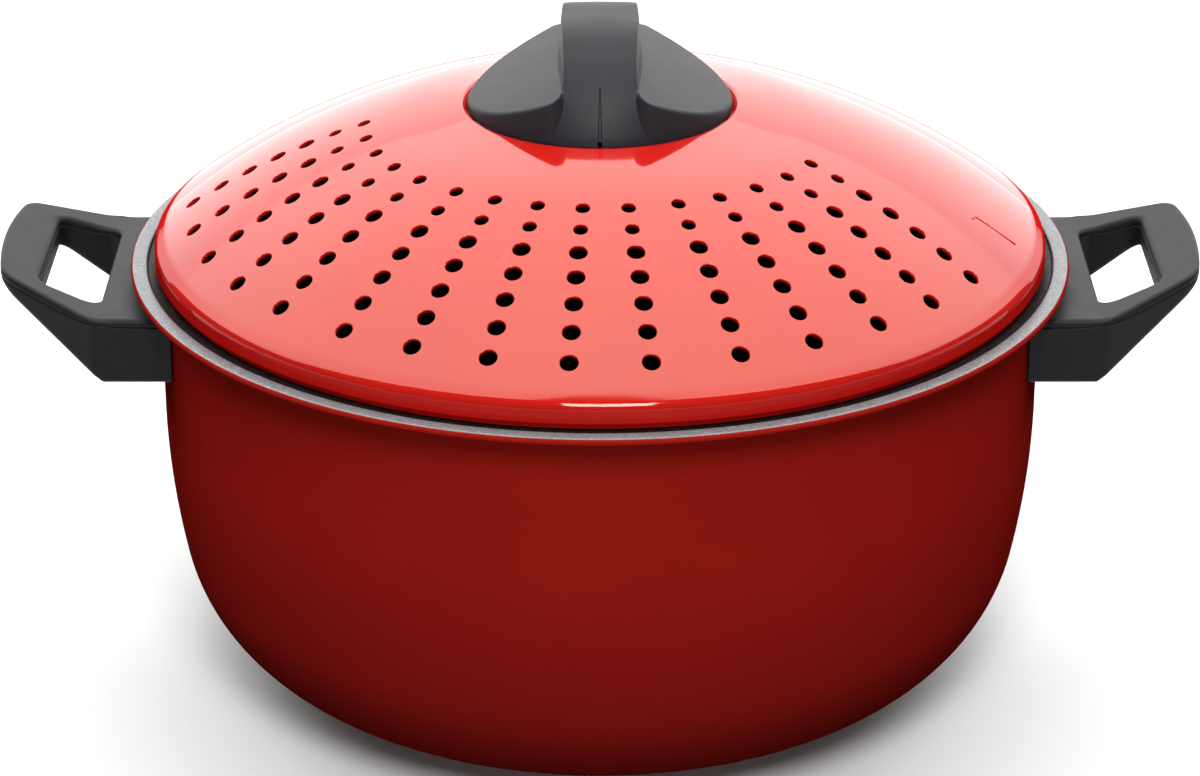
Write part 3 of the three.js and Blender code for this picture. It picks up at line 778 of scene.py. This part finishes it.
def hole_rims_tree():
    """One rim in each hole of every field: rings of holes along columns, columns across fields."""
    angles = "Field pitch", "Column pitch", "Pattern centre"
    lengths = "Outer ring", "Ring pitch", "Dome radius", "Dome centre"
    tree = Tree("strainer_hole_rims", {
        **dict.fromkeys(("Large rim", "Small rim"), "Object"),
        **dict.fromkeys(("Fields", "Columns", "Rings", "Small rings"), "Int"),
        **dict.fromkeys(angles + lengths, "Float"),
        "Finish": "Material",
    })
    size, maths = tree.size, tree.maths

    def from_middle(number, count):
        return maths("SUBTRACT", number, maths("MULTIPLY", maths("SUBTRACT", count, 1), 0.5))

    index = tree.index()
    column_number = maths("FLOOR", maths("DIVIDE", index, size["Rings"]))
    row = maths("MODULO", index, size["Rings"])
    field = maths("FLOOR", maths("DIVIDE", column_number, size["Columns"]))
    column = maths("MODULO", column_number, size["Columns"])
    across = maths("MULTIPLY", from_middle(field, size["Fields"]), size["Field pitch"])
    along = maths("MULTIPLY", from_middle(column, size["Columns"]), size["Column pitch"])
    from_front = maths("ADD", size["Pattern centre"], maths("ADD", across, along))
    ring = maths("SUBTRACT", size["Outer ring"], maths("MULTIPLY", row, size["Ring pitch"]))
    lean = maths("ARCSINE", maths("DIVIDE", ring, size["Dome radius"]))
    points = tree.node("GeometryNodePoints", "Points", {
        "Count": maths("MULTIPLY", size["Fields"], maths("MULTIPLY", size["Columns"], size["Rings"])),
        "Position": tree.vector(0, 0, size["Dome centre"]),
    })
    axis = tree.vector(lean, 0, from_front)
    large = maths("LESS_THAN", row, maths("SUBTRACT", size["Rings"], size["Small rings"]))
    tree.close(
        tree.copies("Large rim", points, axis, large),
        tree.copies("Small rim", points, axis, maths("SUBTRACT", 1, large)),
    )
    return tree


def hole_rims():
    enamel = finishes["lid_enamel"]
    rims = {}
    for name, width in (("Large rim", LARGE_HOLE), ("Small rim", SMALL_HOLE)):
        rims[name] = new_object(name, hole_rim_mesh(name, width), enamel)
    mesh = hole_rims_tree().grow({
        **rims,
        "Fields": FIELDS,
        "Columns": COLUMNS,
        "Rings": RINGS,
        "Small rings": SMALL_RINGS,
        "Field pitch": FIELD_PITCH,
        "Column pitch": COLUMN_PITCH,
        "Pattern centre": PATTERN_CENTRE,
        "Outer ring": lid_radius - EDGE_MARGIN,
        "Ring pitch": RING_PITCH,
        "Dome radius": dome_radius,
        "Dome centre": dome_centre,
        "Finish": enamel,
    })
    for rim in rims.values():
        bpy.data.objects.remove(rim)
    return mesh


def dome_ridge(bm, start, end):
    """A rounded ridge that lies on the dome between two points in plan."""
    half = MARK_WIDTH / 2
    along = (end - start).normalized()
    length = (end - start).length
    quarter = [half * math.sin(QUARTER * i / 4) for i in range(5)]
    rings = []
    for place in [-q for q in quarter[::-1]] + [length + q for q in quarter]:
        beyond = max(-place, place - length, 0)
        share = math.sqrt(max(1 - (beyond / half) ** 2, 0))
        plan = start + along * place
        foot = Vector((*plan, dome_z(plan.length)))
        up = (foot - Vector((0, 0, dome_centre))).normalized()
        side = up.cross(Vector((*along, 0))).normalized()
        ring = []
        for x, z in arc(0, 0, share, 0, math.tau, 12)[:-1] if share else [(0, 0)]:
            ring.append(bm.verts.new(foot + side * x * half + up * z * MARK_HEIGHT))
        rings.append(ring)
    for low, high in zip(rings, rings[1:]):
        bridge(bm, low, high)


def index_mark():
    """A raised line on the lid that points at the rim, with a short tick at its inner end."""
    outwards = round_point(1, MARK_ANGLE, 0).xy
    inner = outwards * MARK_INNER
    forwards = Vector((outwards.y, -outwards.x))
    bm = bmesh.new()
    dome_ridge(bm, inner, outwards * MARK_OUTER)
    dome_ridge(bm, inner, inner + forwards * MARK_TICK)
    dress("lid_index_mark", mesh_of(bm, "lid_index_mark"), "lid", "lid_enamel", "lid_shell")


def lid():
    inner = SEAT_RADIUS + CROWN_MARGIN + DOME_INNER
    outer = lid_radius - DOME_OUTER
    bm = bmesh.new()
    bm.from_mesh(hole_rims())
    skirt, crown = lid_section(0, inner, outer)
    under_skirt, under_crown = lid_section(LID_SHEET, inner, outer)
    hem_r = lid_radius - LIP_INSET - LID_SHEET / 2
    hem = arc(hem_r, lid_bottom + LID_SHEET / 2, LID_SHEET / 2, -math.pi, 0, 8)
    turn(bm, under_skirt[::-1] + hem[1:-1] + skirt, LID_STEPS, closed=False)
    turn(bm, crown + under_crown[::-1], LID_STEPS, closed=False)
    perforated_face(bm, 0, inner, outer)
    perforated_face(bm, LID_SHEET, inner, outer)
    mesh = mesh_of(bm, "lid_dome", crease=60)
    middle = Vector((0, 0, dome_centre))
    normals = []
    for vert, normal in zip(mesh.vertices, mesh.vertex_normals):
        out = vert.co - middle
        on_dome = vert.co.xy.length > inner - MM
        if on_dome and abs(out.length - dome_radius) < ON_DOME:
            normals.append(out.normalized())
        elif on_dome and abs(out.length - dome_radius + LID_SHEET) < ON_DOME:
            normals.append(-out.normalized())
        else:
            normals.append(normal.vector)
    mesh.normals_split_custom_set_from_vertices(normals)
    dress("lid_dome", mesh, "lid", "lid_enamel", "lid_shell")


# Knob

KNOB_RADIUS = 36.3 * MM
KNOB_DRAFT = math.radians(4)
FACE_RUN = 25.8 * MM  # knob's edge to where the bar's ends reach its crest
FACE_BEND = 5.6 * MM  # where the slopes at the foot and the crest of those ends would meet
FACE_BEND_HEIGHT = 17.2 * MM
FACE_ROUND = 14 * MM  # radius outside which those ends turn from flat to round
CREST_HEIGHT = 26.6 * MM
CREST_EASE = 3 * MM
BAR_WIDTH = 21.4 * MM
BAR_WAIST = 1 * MM  # taken off each side of the bar towards its ends
BAR_CROWN = 0.7 * MM
BAR_IN = 0.4 * MM  # width in plan of the bar's sides, inwards and outwards
BAR_OUT = 0.9 * MM
FLARE_RADIUS = 4.5 * MM
PAD_TILT = math.radians(25)
PAD_EDGE_HEIGHT = 2 * MM
PAD_ARCH = 1.4 * MM  # drop of the pads towards front and back
PAD_EDGE = 0.9 * MM
SLIT_HEIGHT = 14 * MM
SLIT_WIDTH = 1.1 * MM  # at its foot
SLIT_DEPTH = 1.2 * MM
SLIT_TAPER = 0.75  # share of its width that it loses towards its top
KNOB_FOOT_EDGE = 0.3 * MM
KNOB_PITCH = 0.5 * MM  # steps of the grid that the knob is found on
KNOB_PITCH_ACROSS = 0.35 * MM
SLIT_PITCH = 0.1 * MM
INSERT_BORE = 4.8 * MM
INSERT_DEPTH = 14.6 * MM


def knob_bar_side(x, y):
    """Plan of the grip bar: it narrows from the middle, then flares out to the round wall."""
    half = BAR_WIDTH / 2
    flare_x = half - BAR_WAIST + FLARE_RADIUS
    flare_y = math.sqrt(KNOB_RADIUS**2 - flare_x**2) - FLARE_RADIUS
    beyond = np.maximum(y - flare_y, 0)
    share = np.clip(y / flare_y, 0, 1)
    straight = x - half + BAR_WAIST * share**2 * (3 - 2 * share)
    flare = FLARE_RADIUS - np.hypot(np.minimum(x - flare_x, 0), beyond)
    return np.where(y > flare_y, flare, straight)


def knob_height(x, y):
    """Top of the knob over its plan: the grip bar between two sloping pads."""
    across, away, out = np.abs(x), np.abs(y), np.hypot(x, y)
    rounding = np.clip((out - FACE_ROUND) / (KNOB_RADIUS - FACE_ROUND), 0, 1)
    run = np.maximum(KNOB_RADIUS - away - (out - away) * rounding, 0)
    spare = FACE_RUN - 2 * FACE_BEND
    along = (np.sqrt(FACE_BEND**2 + spare * run) - FACE_BEND) / spare
    face = 2 * FACE_BEND_HEIGHT * along * (1 - along) + CREST_HEIGHT * along**2
    crest = CREST_HEIGHT - BAR_CROWN * (across / (BAR_WIDTH / 2)) ** 2
    eased = np.maximum(CREST_EASE - np.abs(face - crest), 0) ** 2 / (4 * CREST_EASE)
    bar = np.minimum(face, crest) - eased
    arch = PAD_ARCH * (away / KNOB_RADIUS) ** 2
    pad = PAD_EDGE_HEIGHT + (KNOB_RADIUS - across) * math.tan(PAD_TILT) - arch
    share = np.clip((BAR_OUT - knob_bar_side(across, away)) / (BAR_IN + BAR_OUT), 0, 1)
    return pad + (bar - pad) * share**2 * (3 - 2 * share)


def knob_distance(x, y, z):
    up = z - knob_bottom
    step = 0.05 * MM
    rise_x = (knob_height(x + step, y) - knob_height(x - step, y)) / (2 * step)
    rise_y = (knob_height(x, y + step) - knob_height(x, y - step)) / (2 * step)
    top = (up - knob_height(x, y)) / np.sqrt(1 + rise_x**2 + rise_y**2)
    wall = (np.hypot(x, y) - KNOB_RADIUS + up * math.tan(KNOB_DRAFT)) * math.cos(KNOB_DRAFT)
    body = meet(meet(top, wall, PAD_EDGE), -up, KNOB_FOOT_EDGE)
    taper = SLIT_WIDTH / 2 * (1 - SLIT_TAPER * up / SLIT_HEIGHT)
    groove = np.maximum(np.abs(x) - taper, -(body + SLIT_DEPTH))
    slit = np.maximum(groove, np.maximum(up - SLIT_HEIGHT, y))
    bore = np.maximum(np.hypot(x, y) - INSERT_BORE, up - INSERT_DEPTH)
    return np.maximum(body, -np.minimum(slit, bore))


def knob():
    reach = KNOB_RADIUS + MM
    across = np.arange(-reach, reach, KNOB_PITCH_ACROSS)
    in_slit = np.arange(-SLIT_WIDTH, SLIT_WIDTH, SLIT_PITCH)
    across = np.sort(np.concatenate([across[np.abs(across) > SLIT_WIDTH], in_slit]))
    low, high = (-reach, knob_bottom - MM), (reach, knob_bottom + CREST_HEIGHT + MM)
    shape = moulded(knob_distance, [across, *grid(low, high, KNOB_PITCH)])
    dress("knob", moulded_mesh("knob", *shape), "lid", "knob_plastic", "lid_knob")


# Handles

HANDLE_REACH = 43.2 * MM
HANDLE_WIDTH = 77.6 * MM
HANDLE_END_WIDTH = 55 * MM
HANDLE_END_BULGE = 2.6 * MM
HANDLE_CORNER = 4.5 * MM
HANDLE_SHOULDER = 15.7 * MM
SHOULDER_EASE = 0.5 * MM  # rounding in plan where the loop narrows
HANDLE_DROP = 6.1 * MM
HANDLE_ROOT_HEIGHT = 18.6 * MM
HANDLE_UNDER_START = 13.2 * MM
HANDLE_RISE = math.radians(20.8)
HANDLE_END_THICKNESS = 3.2 * MM
HANDLE_EDGE = 1.5 * MM
HANDLE_WALL_EDGE = 0.3 * MM  # where the root meets the pot's wall
HANDLE_PITCH = 0.45 * MM  # steps of the grid that the handles are found on
TOP_BEND = 1.5 * MM  # top of the root into the rising loop
UNDER_BEND = 0.5 * MM  # underside of the root into the rising loop
SEAM_DEPTH = 2.3 * MM  # top face to the seam between the two mouldings
SEAM_GAP = 0.05 * MM
SEAM_EDGE = 0.3 * MM
GRIP_WIDTH = 12 * MM
ROOT_DEPTH = 14.2 * MM
HAND_HOLE_ROOT_WIDTH = 54 * MM
HAND_HOLE_END_WIDTH = 48 * MM
HAND_HOLE_CORNER = 4 * MM
BRACKET_WIDTH = 30.6 * MM
BRACKET_HEIGHT = 12.6 * MM
BRACKET_FRONT = 3.1 * MM  # pot wall to the end of the bracket's pocket
BOSS_BORE = 5.3 * MM
BOSS_END = 6.3 * MM  # pot wall to the end of the boss
SCREW_BORE = 2.8 * MM
HEAD_BORE = 5.3 * MM
HEAD_SEAT = 9.3 * MM  # pot wall to the washer's seat

root_top = POT_HEIGHT - HANDLE_DROP
root_bottom = root_top - HANDLE_ROOT_HEIGHT
screw_z = root_top - HANDLE_ROOT_HEIGHT / 2
shoulder_x = POT_RADIUS + HANDLE_SHOULDER
handle_end = POT_RADIUS + HANDLE_REACH
handle_end_top = root_top + (handle_end - shoulder_x) * math.tan(HANDLE_RISE)


def handle_plan():
    half = HANDLE_WIDTH / 2
    end_half = HANDLE_END_WIDTH / 2
    corner = Vector((handle_end - HANDLE_END_BULGE, end_half))
    shoulder = Vector((shoulder_x, half))
    taper = (corner - shoulder).normalized()
    corner_start = corner - taper * HANDLE_CORNER
    end_y = end_half - HANDLE_CORNER
    end_x = handle_end - HANDLE_END_BULGE * (end_y / end_half) ** 2
    right = [
        (POT_RADIUS / 2, half),
        *curve((shoulder_x - SHOULDER_EASE, half), shoulder, shoulder + taper * SHOULDER_EASE),
        *curve(corner_start, corner, (end_x, end_y)),
        *curve((end_x, end_y), (handle_end, end_y / 2), (handle_end, 0), 6),
    ]
    return right + [(handle_end, 0)] + [(x, -y) for x, y in right[::-1]]


def hand_hole_plan():
    root = HAND_HOLE_ROOT_WIDTH / 2
    end = HAND_HOLE_END_WIDTH / 2
    start_x = POT_RADIUS + ROOT_DEPTH
    end_x = handle_end - GRIP_WIDTH
    slope = (root - end) / (end_x - start_x)
    corner = HAND_HOLE_CORNER
    upper = [
        *curve((start_x, root - corner), (start_x, root), (start_x + corner, root - slope * corner)),
        *curve((end_x - corner, end + slope * corner), (end_x, end), (end_x, end - corner)),
        (end_x, end - corner),
    ]
    return upper + [(x, -y) for x, y in upper[::-1]]


def handle_distance(layer, x, y, z):
    """One moulding of the right handle: layer -1 lies above the seam, 1 below it."""
    under_start = POT_RADIUS + HANDLE_UNDER_START
    end_under = handle_end_top - HANDLE_END_THICKNESS
    under_slope = math.atan2(end_under - root_bottom, handle_end - under_start)
    rise = (z - root_top - (x - shoulder_x) * math.tan(HANDLE_RISE)) * math.cos(HANDLE_RISE)
    top = join(z - root_top, rise, TOP_BEND)
    sweep = (root_bottom + (x - under_start) * math.tan(under_slope) - z) * math.cos(under_slope)
    under = meet(root_bottom - z, sweep, UNDER_BEND)
    body = meet(outline_distance(handle_plan(), x, y), meet(top, under, HANDLE_EDGE), HANDLE_EDGE)
    seam = top + SEAM_DEPTH
    body = meet(body, -outline_distance(hand_hole_plan(), x, y), HANDLE_EDGE)
    body = meet(body, POT_RADIUS + CLEARANCE - np.hypot(x, y), HANDLE_WALL_EDGE)
    level = z - screw_z
    out = x - POT_RADIUS
    in_hole = x - handle_end + GRIP_WIDTH
    pocket = np.maximum(np.abs(y) - BRACKET_WIDTH / 2, np.abs(level) - BRACKET_HEIGHT / 2)
    pocket = np.maximum(pocket, out - BRACKET_FRONT)
    from_axis = np.hypot(y, level)
    boss = np.maximum(from_axis - BOSS_BORE, out - BOSS_END)
    head = np.maximum(np.maximum(from_axis - HEAD_BORE, HEAD_SEAT - out), in_hole)
    screw = np.maximum(from_axis - SCREW_BORE, in_hole)
    cut = np.minimum(np.minimum(pocket, boss), np.minimum(head, screw))
    return meet(np.maximum(body, -cut), layer * seam + SEAM_GAP, SEAM_EDGE)


def handles():
    half = HANDLE_WIDTH / 2 + MM
    low = (math.sqrt(POT_RADIUS**2 - half**2) - MM, -half, root_bottom - MM)
    high = (handle_end + MM, half, handle_end_top + MM)
    axes = grid(low, high, HANDLE_PITCH)
    for layer, part in ((-1, "cap"), (1, "body")):
        points, outward, faces = moulded(functools.partial(handle_distance, layer), axes)
        for side, turned in (("right", 1), ("left", -1)):
            about = np.array([turned, turned, 1])
            name = f"{side}_grip_{part}"
            mesh = moulded_mesh(name, points * about, outward * about, faces)
            dress(name, mesh, "pot", "handle_plastic", f"{side}_handle")


# Fittings

DISC_GROOVES = 18
GROOVE_WIDTH = 0.7 * MM
GROOVE_DEPTH = 0.25 * MM
STEEL_EDGE = 0.25 * MM
KNOB_WASHER = 20 * MM
KNOB_WASHER_THICKNESS = 1.5 * MM
KNOB_SCREW_HEAD = 10 * MM
KNOB_SCREW_GRIP = 10 * MM
HANDLE_WASHER = 10 * MM
HANDLE_WASHER_THICKNESS = 1 * MM
HANDLE_SCREW_HEAD = 9 * MM
HANDLE_SCREW_SHANK = 8.1 * MM
SCREW_DIAMETER = 5 * MM
SCREW_HEAD_HEIGHT = 3 * MM
SCREW_CROWN = 9 * MM  # radius of the domed heads
RECESS_REACH = 0.27  # of the head's width
RECESS_ARM = 0.55 * MM  # half width of the cross
RECESS_DEPTH = 1.6 * MM
HEAD_EDGE = 0.6 * MM
HEAD_UNDER_EDGE = 0.2 * MM
SHANK_EDGE = 0.4 * MM
SCREW_PITCH = 0.25 * MM  # steps of the grid that the screws are found on
WASHER_STEPS = 64
TAB_SHEET = 1.2 * MM
TAB_WELD = 10 * MM
TAB_SEAT_GAP = 0.6 * MM
TAB_HALF_WIDTH = 6.5 * MM
TAB_WEB = 2.9 * MM  # pot's inner wall to the web
TAB_FOOT = 0.93 * MM  # pot's inner wall to the end of the foot
TAB_FOOT_DROP = 15.9 * MM  # flange top to the middle of the foot
TAB_STOP = 6.2 * MM
TAB_EDGE = 0.4 * MM
STOP_EDGE = 0.3 * MM
TAB_PITCH = 0.35 * MM  # steps of the grid that the tabs are found on
LOCK_ANGLE = math.radians(14.5)


def ring_section(inner, outer, low, high):
    """Section of a flat ring with bevelled edges."""
    edge = STEEL_EDGE
    return [
        (inner + edge, low), (outer - edge, low), (outer, low + edge), (outer, high - edge),
        (outer - edge, high), (inner + edge, high), (inner, high - edge), (inner, low + edge),
    ]


def base_plate():
    """Disc let into the underside, with shallow turned grooves."""
    pitch = disc_radius / DISC_GROOVES
    face = [(0, 0)]
    for i in range(1, DISC_GROOVES):
        face += [(pitch * i - GROOVE_WIDTH, 0), (pitch * i, GROOVE_DEPTH), (pitch * i + GROOVE_WIDTH, 0)]
    edge = ring_section(0, disc_radius, 0, DISC_THICKNESS)[1:5]
    bm = bmesh.new()
    turn(bm, face + edge + [(0, DISC_THICKNESS)], POT_STEPS)
    dress("base_plate", mesh_of(bm, "base_plate", crease=15), "pot", "steel", "base_disc")


def washer_mesh(name, width, low, high):
    bm = bmesh.new()
    turn(bm, ring_section(SCREW_HOLE, width / 2, low, high), WASHER_STEPS)
    return mesh_of(bm, name)


def screw_mesh(name, head, shank):
    """A pan head screw with a cross recess, its head above z = 0 and its shank below."""

    def distance(x, y, z):
        across = np.hypot(x, y)
        crown = np.hypot(across, z - SCREW_HEAD_HEIGHT + SCREW_CROWN) - SCREW_CROWN
        top = meet(meet(across - head / 2, crown, HEAD_EDGE), -z, HEAD_UNDER_EDGE)
        ends = np.maximum(z - SCREW_HEAD_HEIGHT / 2, -shank - z)
        stem = meet(across - SCREW_DIAMETER / 2, ends, SHANK_EDGE)
        reach = head * RECESS_REACH - (SCREW_HEAD_HEIGHT - z) / 3
        first = np.maximum(np.abs(x) - reach, np.abs(y) - RECESS_ARM)
        second = np.maximum(np.abs(y) - reach, np.abs(x) - RECESS_ARM)
        recess = np.maximum(np.minimum(first, second), SCREW_HEAD_HEIGHT - RECESS_DEPTH - z)
        return np.maximum(np.minimum(top, stem), -recess)

    half = head / 2 + MM
    box = (-half, -half, -shank - MM), (half, half, SCREW_HEAD_HEIGHT + MM)
    points, _, faces = moulded(distance, grid(*box, SCREW_PITCH))
    mesh = bpy.data.meshes.new(name)
    mesh.from_pydata(points.tolist(), [], faces.tolist())
    mesh.shade_smooth()
    mesh.set_sharp_from_angle(angle=math.radians(40))
    return mesh


def round_the_pot_tree():
    """Copies of a piece set round the pot's axis, its own Z pointing outwards."""
    tree = Tree("handle_fasteners", {
        "Piece": "Object",
        "Count": "Int",
        "Distance": "Float",
        "Height": "Float",
        "Finish": "Material",
    })
    size, maths = tree.size, tree.maths
    angle = maths("MULTIPLY", tree.index(), maths("DIVIDE", math.tau, size["Count"]))
    along_x = maths("MULTIPLY", maths("COSINE", angle), size["Distance"])
    along_y = maths("MULTIPLY", maths("SINE", angle), size["Distance"])
    points = tree.node("GeometryNodePoints", "Points", {
        "Count": size["Count"],
        "Position": tree.vector(along_x, along_y, size["Height"]),
    })
    tree.close(tree.copies("Piece", points, tree.vector(0, QUARTER, angle)))
    return tree


def handle_fasteners():
    steel = finishes["steel"]
    tree = round_the_pot_tree()
    seat = POT_RADIUS + HEAD_SEAT + CLEARANCE
    head = seat + HANDLE_WASHER_THICKNESS + CLEARANCE
    washer = washer_mesh("washer", HANDLE_WASHER, 0, HANDLE_WASHER_THICKNESS)
    screw = screw_mesh("screw", HANDLE_SCREW_HEAD, HANDLE_SCREW_SHANK)
    for kind, mesh, distance in (("washer", washer, seat), ("screw", screw, head)):
        pattern = new_object(kind, mesh, steel)
        pair = tree.grow({
            "Piece": pattern,
            "Count": 2,
            "Distance": distance,
            "Height": screw_z,
            "Finish": steel,
        })
        bpy.data.objects.remove(pattern)
        nodes = [f"{side}_handle_{kind}" for side in ("right", "left")]
        dress(f"handle_{kind}s", pair, "pot", "steel", *nodes)


def knob_fasteners():
    washer_top = seat_z - LID_SHEET - CLEARANCE
    washer_low = washer_top - KNOB_WASHER_THICKNESS
    washer = washer_mesh("clamp_washer", KNOB_WASHER, washer_low, washer_top)
    dress("clamp_washer", washer, "lid_carrier", "steel", "knob_washer")
    head = washer_low - CLEARANCE
    screw = screw_mesh("clamp_screw", KNOB_SCREW_HEAD, knob_bottom + KNOB_SCREW_GRIP - head)
    screw.transform(Matrix.Translation((0, 0, head)) @ Matrix.Rotation(math.pi, 4, "X"))
    dress("clamp_screw", screw, "lid", "steel", "knob_screw")


def tab_distance(x, y, z):
    """A bent strip: a leaf under the dome, a web down into the pot, a foot turned outwards, and a stop."""
    half = TAB_SHEET / 2
    web = pot_inner - TAB_WEB - half
    leaf = web + half - TAB_WELD
    foot_z = POT_HEIGHT - TAB_FOOT_DROP
    foot_end = pot_inner - TAB_FOOT
    gap = LID_SHEET + TAB_SEAT_GAP + half
    path = [(r, dome_z(r, gap)) for r in (leaf + half, (leaf + web) / 2, web)]
    path += [(web, foot_z), (foot_end - half, foot_z)]
    nearest = np.inf
    for start, end in zip(path, path[1:]):
        nearest = np.minimum(nearest, segment_distance(start, end, x, z))
    strip = meet(nearest - half, np.abs(y) - TAB_HALF_WIDTH, TAB_EDGE)
    stop_x = np.abs(x - (web + foot_end) / 2) - (foot_end - web + half) / 2
    stop_y = np.abs(y + TAB_HALF_WIDTH - half) - half
    stop_z = np.abs(z - foot_z + half - TAB_STOP / 2) - TAB_STOP / 2
    stop = meet(meet(stop_x, stop_y, STOP_EDGE), stop_z, STOP_EDGE)
    return join(strip, stop, TAB_EDGE)


def lock_tabs():
    half = TAB_HALF_WIDTH + MM
    low = (pot_inner - TAB_WEB - TAB_WELD - MM, -half, POT_HEIGHT - TAB_FOOT_DROP - 2 * MM)
    high = (pot_inner, half, dome_z(low[0]))
    points, outward, faces = moulded(tab_distance, grid(low, high, TAB_PITCH))
    for side, turned in (("right", 0), ("left", math.pi)):
        about = np.array(Matrix.Rotation(turned - LOCK_ANGLE, 3, "Z"))
        mesh = moulded_mesh(f"{side}_tab", points @ about.T, outward @ about.T, faces)
        dress(f"{side}_tab", mesh, "lid", "steel", f"{side}_lock_tab")


# Stage

WORLD_LIGHT = 0.08
FLOOR_RADIUS = 6
FLOOR_SHADE = 0.58
SENSOR_WIDTH = 36  # millimetres, as the lens
LENS = 119.1
CAMERA_PLACE = Vector((0, -1.0245, 0.5310))
CAMERA_TARGET = Vector((0, 0, 0.07806))


def softbox(name, size, place, tilt, radiance, spread=180):
    """A rectangular light that faces down, tipped about X; both angles are in degrees."""
    data = bpy.data.lights.new(name, "AREA")
    data.shape = "RECTANGLE"
    data.size, data.size_y = size
    data.spread = math.radians(spread)
    data.energy = radiance * size[0] * size[1] * math.pi
    light = bpy.data.objects.new(name, data)
    light.location = place
    light.rotation_euler = (math.radians(tilt), 0, 0)
    light.visible_camera = False
    bpy.context.scene.collection.objects.link(light)
    return light


def studio():
    scene = bpy.context.scene
    scene.view_settings.view_transform = "Standard"
    world = bpy.data.worlds.new("studio")
    world.use_nodes = True
    background = world.node_tree.nodes["Background"]
    background.inputs["Color"].default_value = (1, 1, 1, 1)
    background.inputs["Strength"].default_value = WORLD_LIGHT
    scene.world = world
    softbox("overhead_softbox", (5.2, 2.7), (0, 1.1, 1.4), tilt=0, radiance=3.3, spread=160)
    softbox("back_panel", (5.2, 1.4), (0, 2.45, 0.7), tilt=-90, radiance=2.15)
    softbox("front_key", (0.5, 0.65), (0.05, -1.1, 1.25), tilt=45, radiance=20)
    # Softens the flange's shadow on the pot, without a reflection of its own
    fill = softbox("front_fill", (0.9, 0.35), (0, -1.5, 0.2), tilt=90, radiance=8.5)
    fill.visible_glossy = False

    bm = bmesh.new()
    bmesh.ops.create_circle(bm, cap_ends=True, radius=FLOOR_RADIUS, segments=96)
    pale = Finish("pale_floor", Roughness=0.9, Base_Color=(FLOOR_SHADE, FLOOR_SHADE, FLOOR_SHADE, 1))
    floor = new_object("floor", mesh_of(bm, "floor"), pale.material)
    # Keeps the floor from lighting the pot from below, so that its sides and foot stay dark
    floor.visible_diffuse = False

    camera = bpy.data.objects.new("camera", bpy.data.cameras.new("camera"))
    camera.data.sensor_width = SENSOR_WIDTH
    camera.data.lens = LENS
    camera.location = CAMERA_PLACE
    camera.rotation_euler = (CAMERA_TARGET - CAMERA_PLACE).to_track_quat("-Z", "Y").to_euler()
    scene.collection.objects.link(camera)
    scene.camera = camera


pot()
lid()
knob()
handles()
index_mark()
base_plate()
handle_fasteners()
knob_fasteners()
lock_tabs()
for name in ("knob_insert", "right_handle_bracket", "left_handle_bracket"):
    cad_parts[name].data.materials[0] = finishes["steel"]
studio()
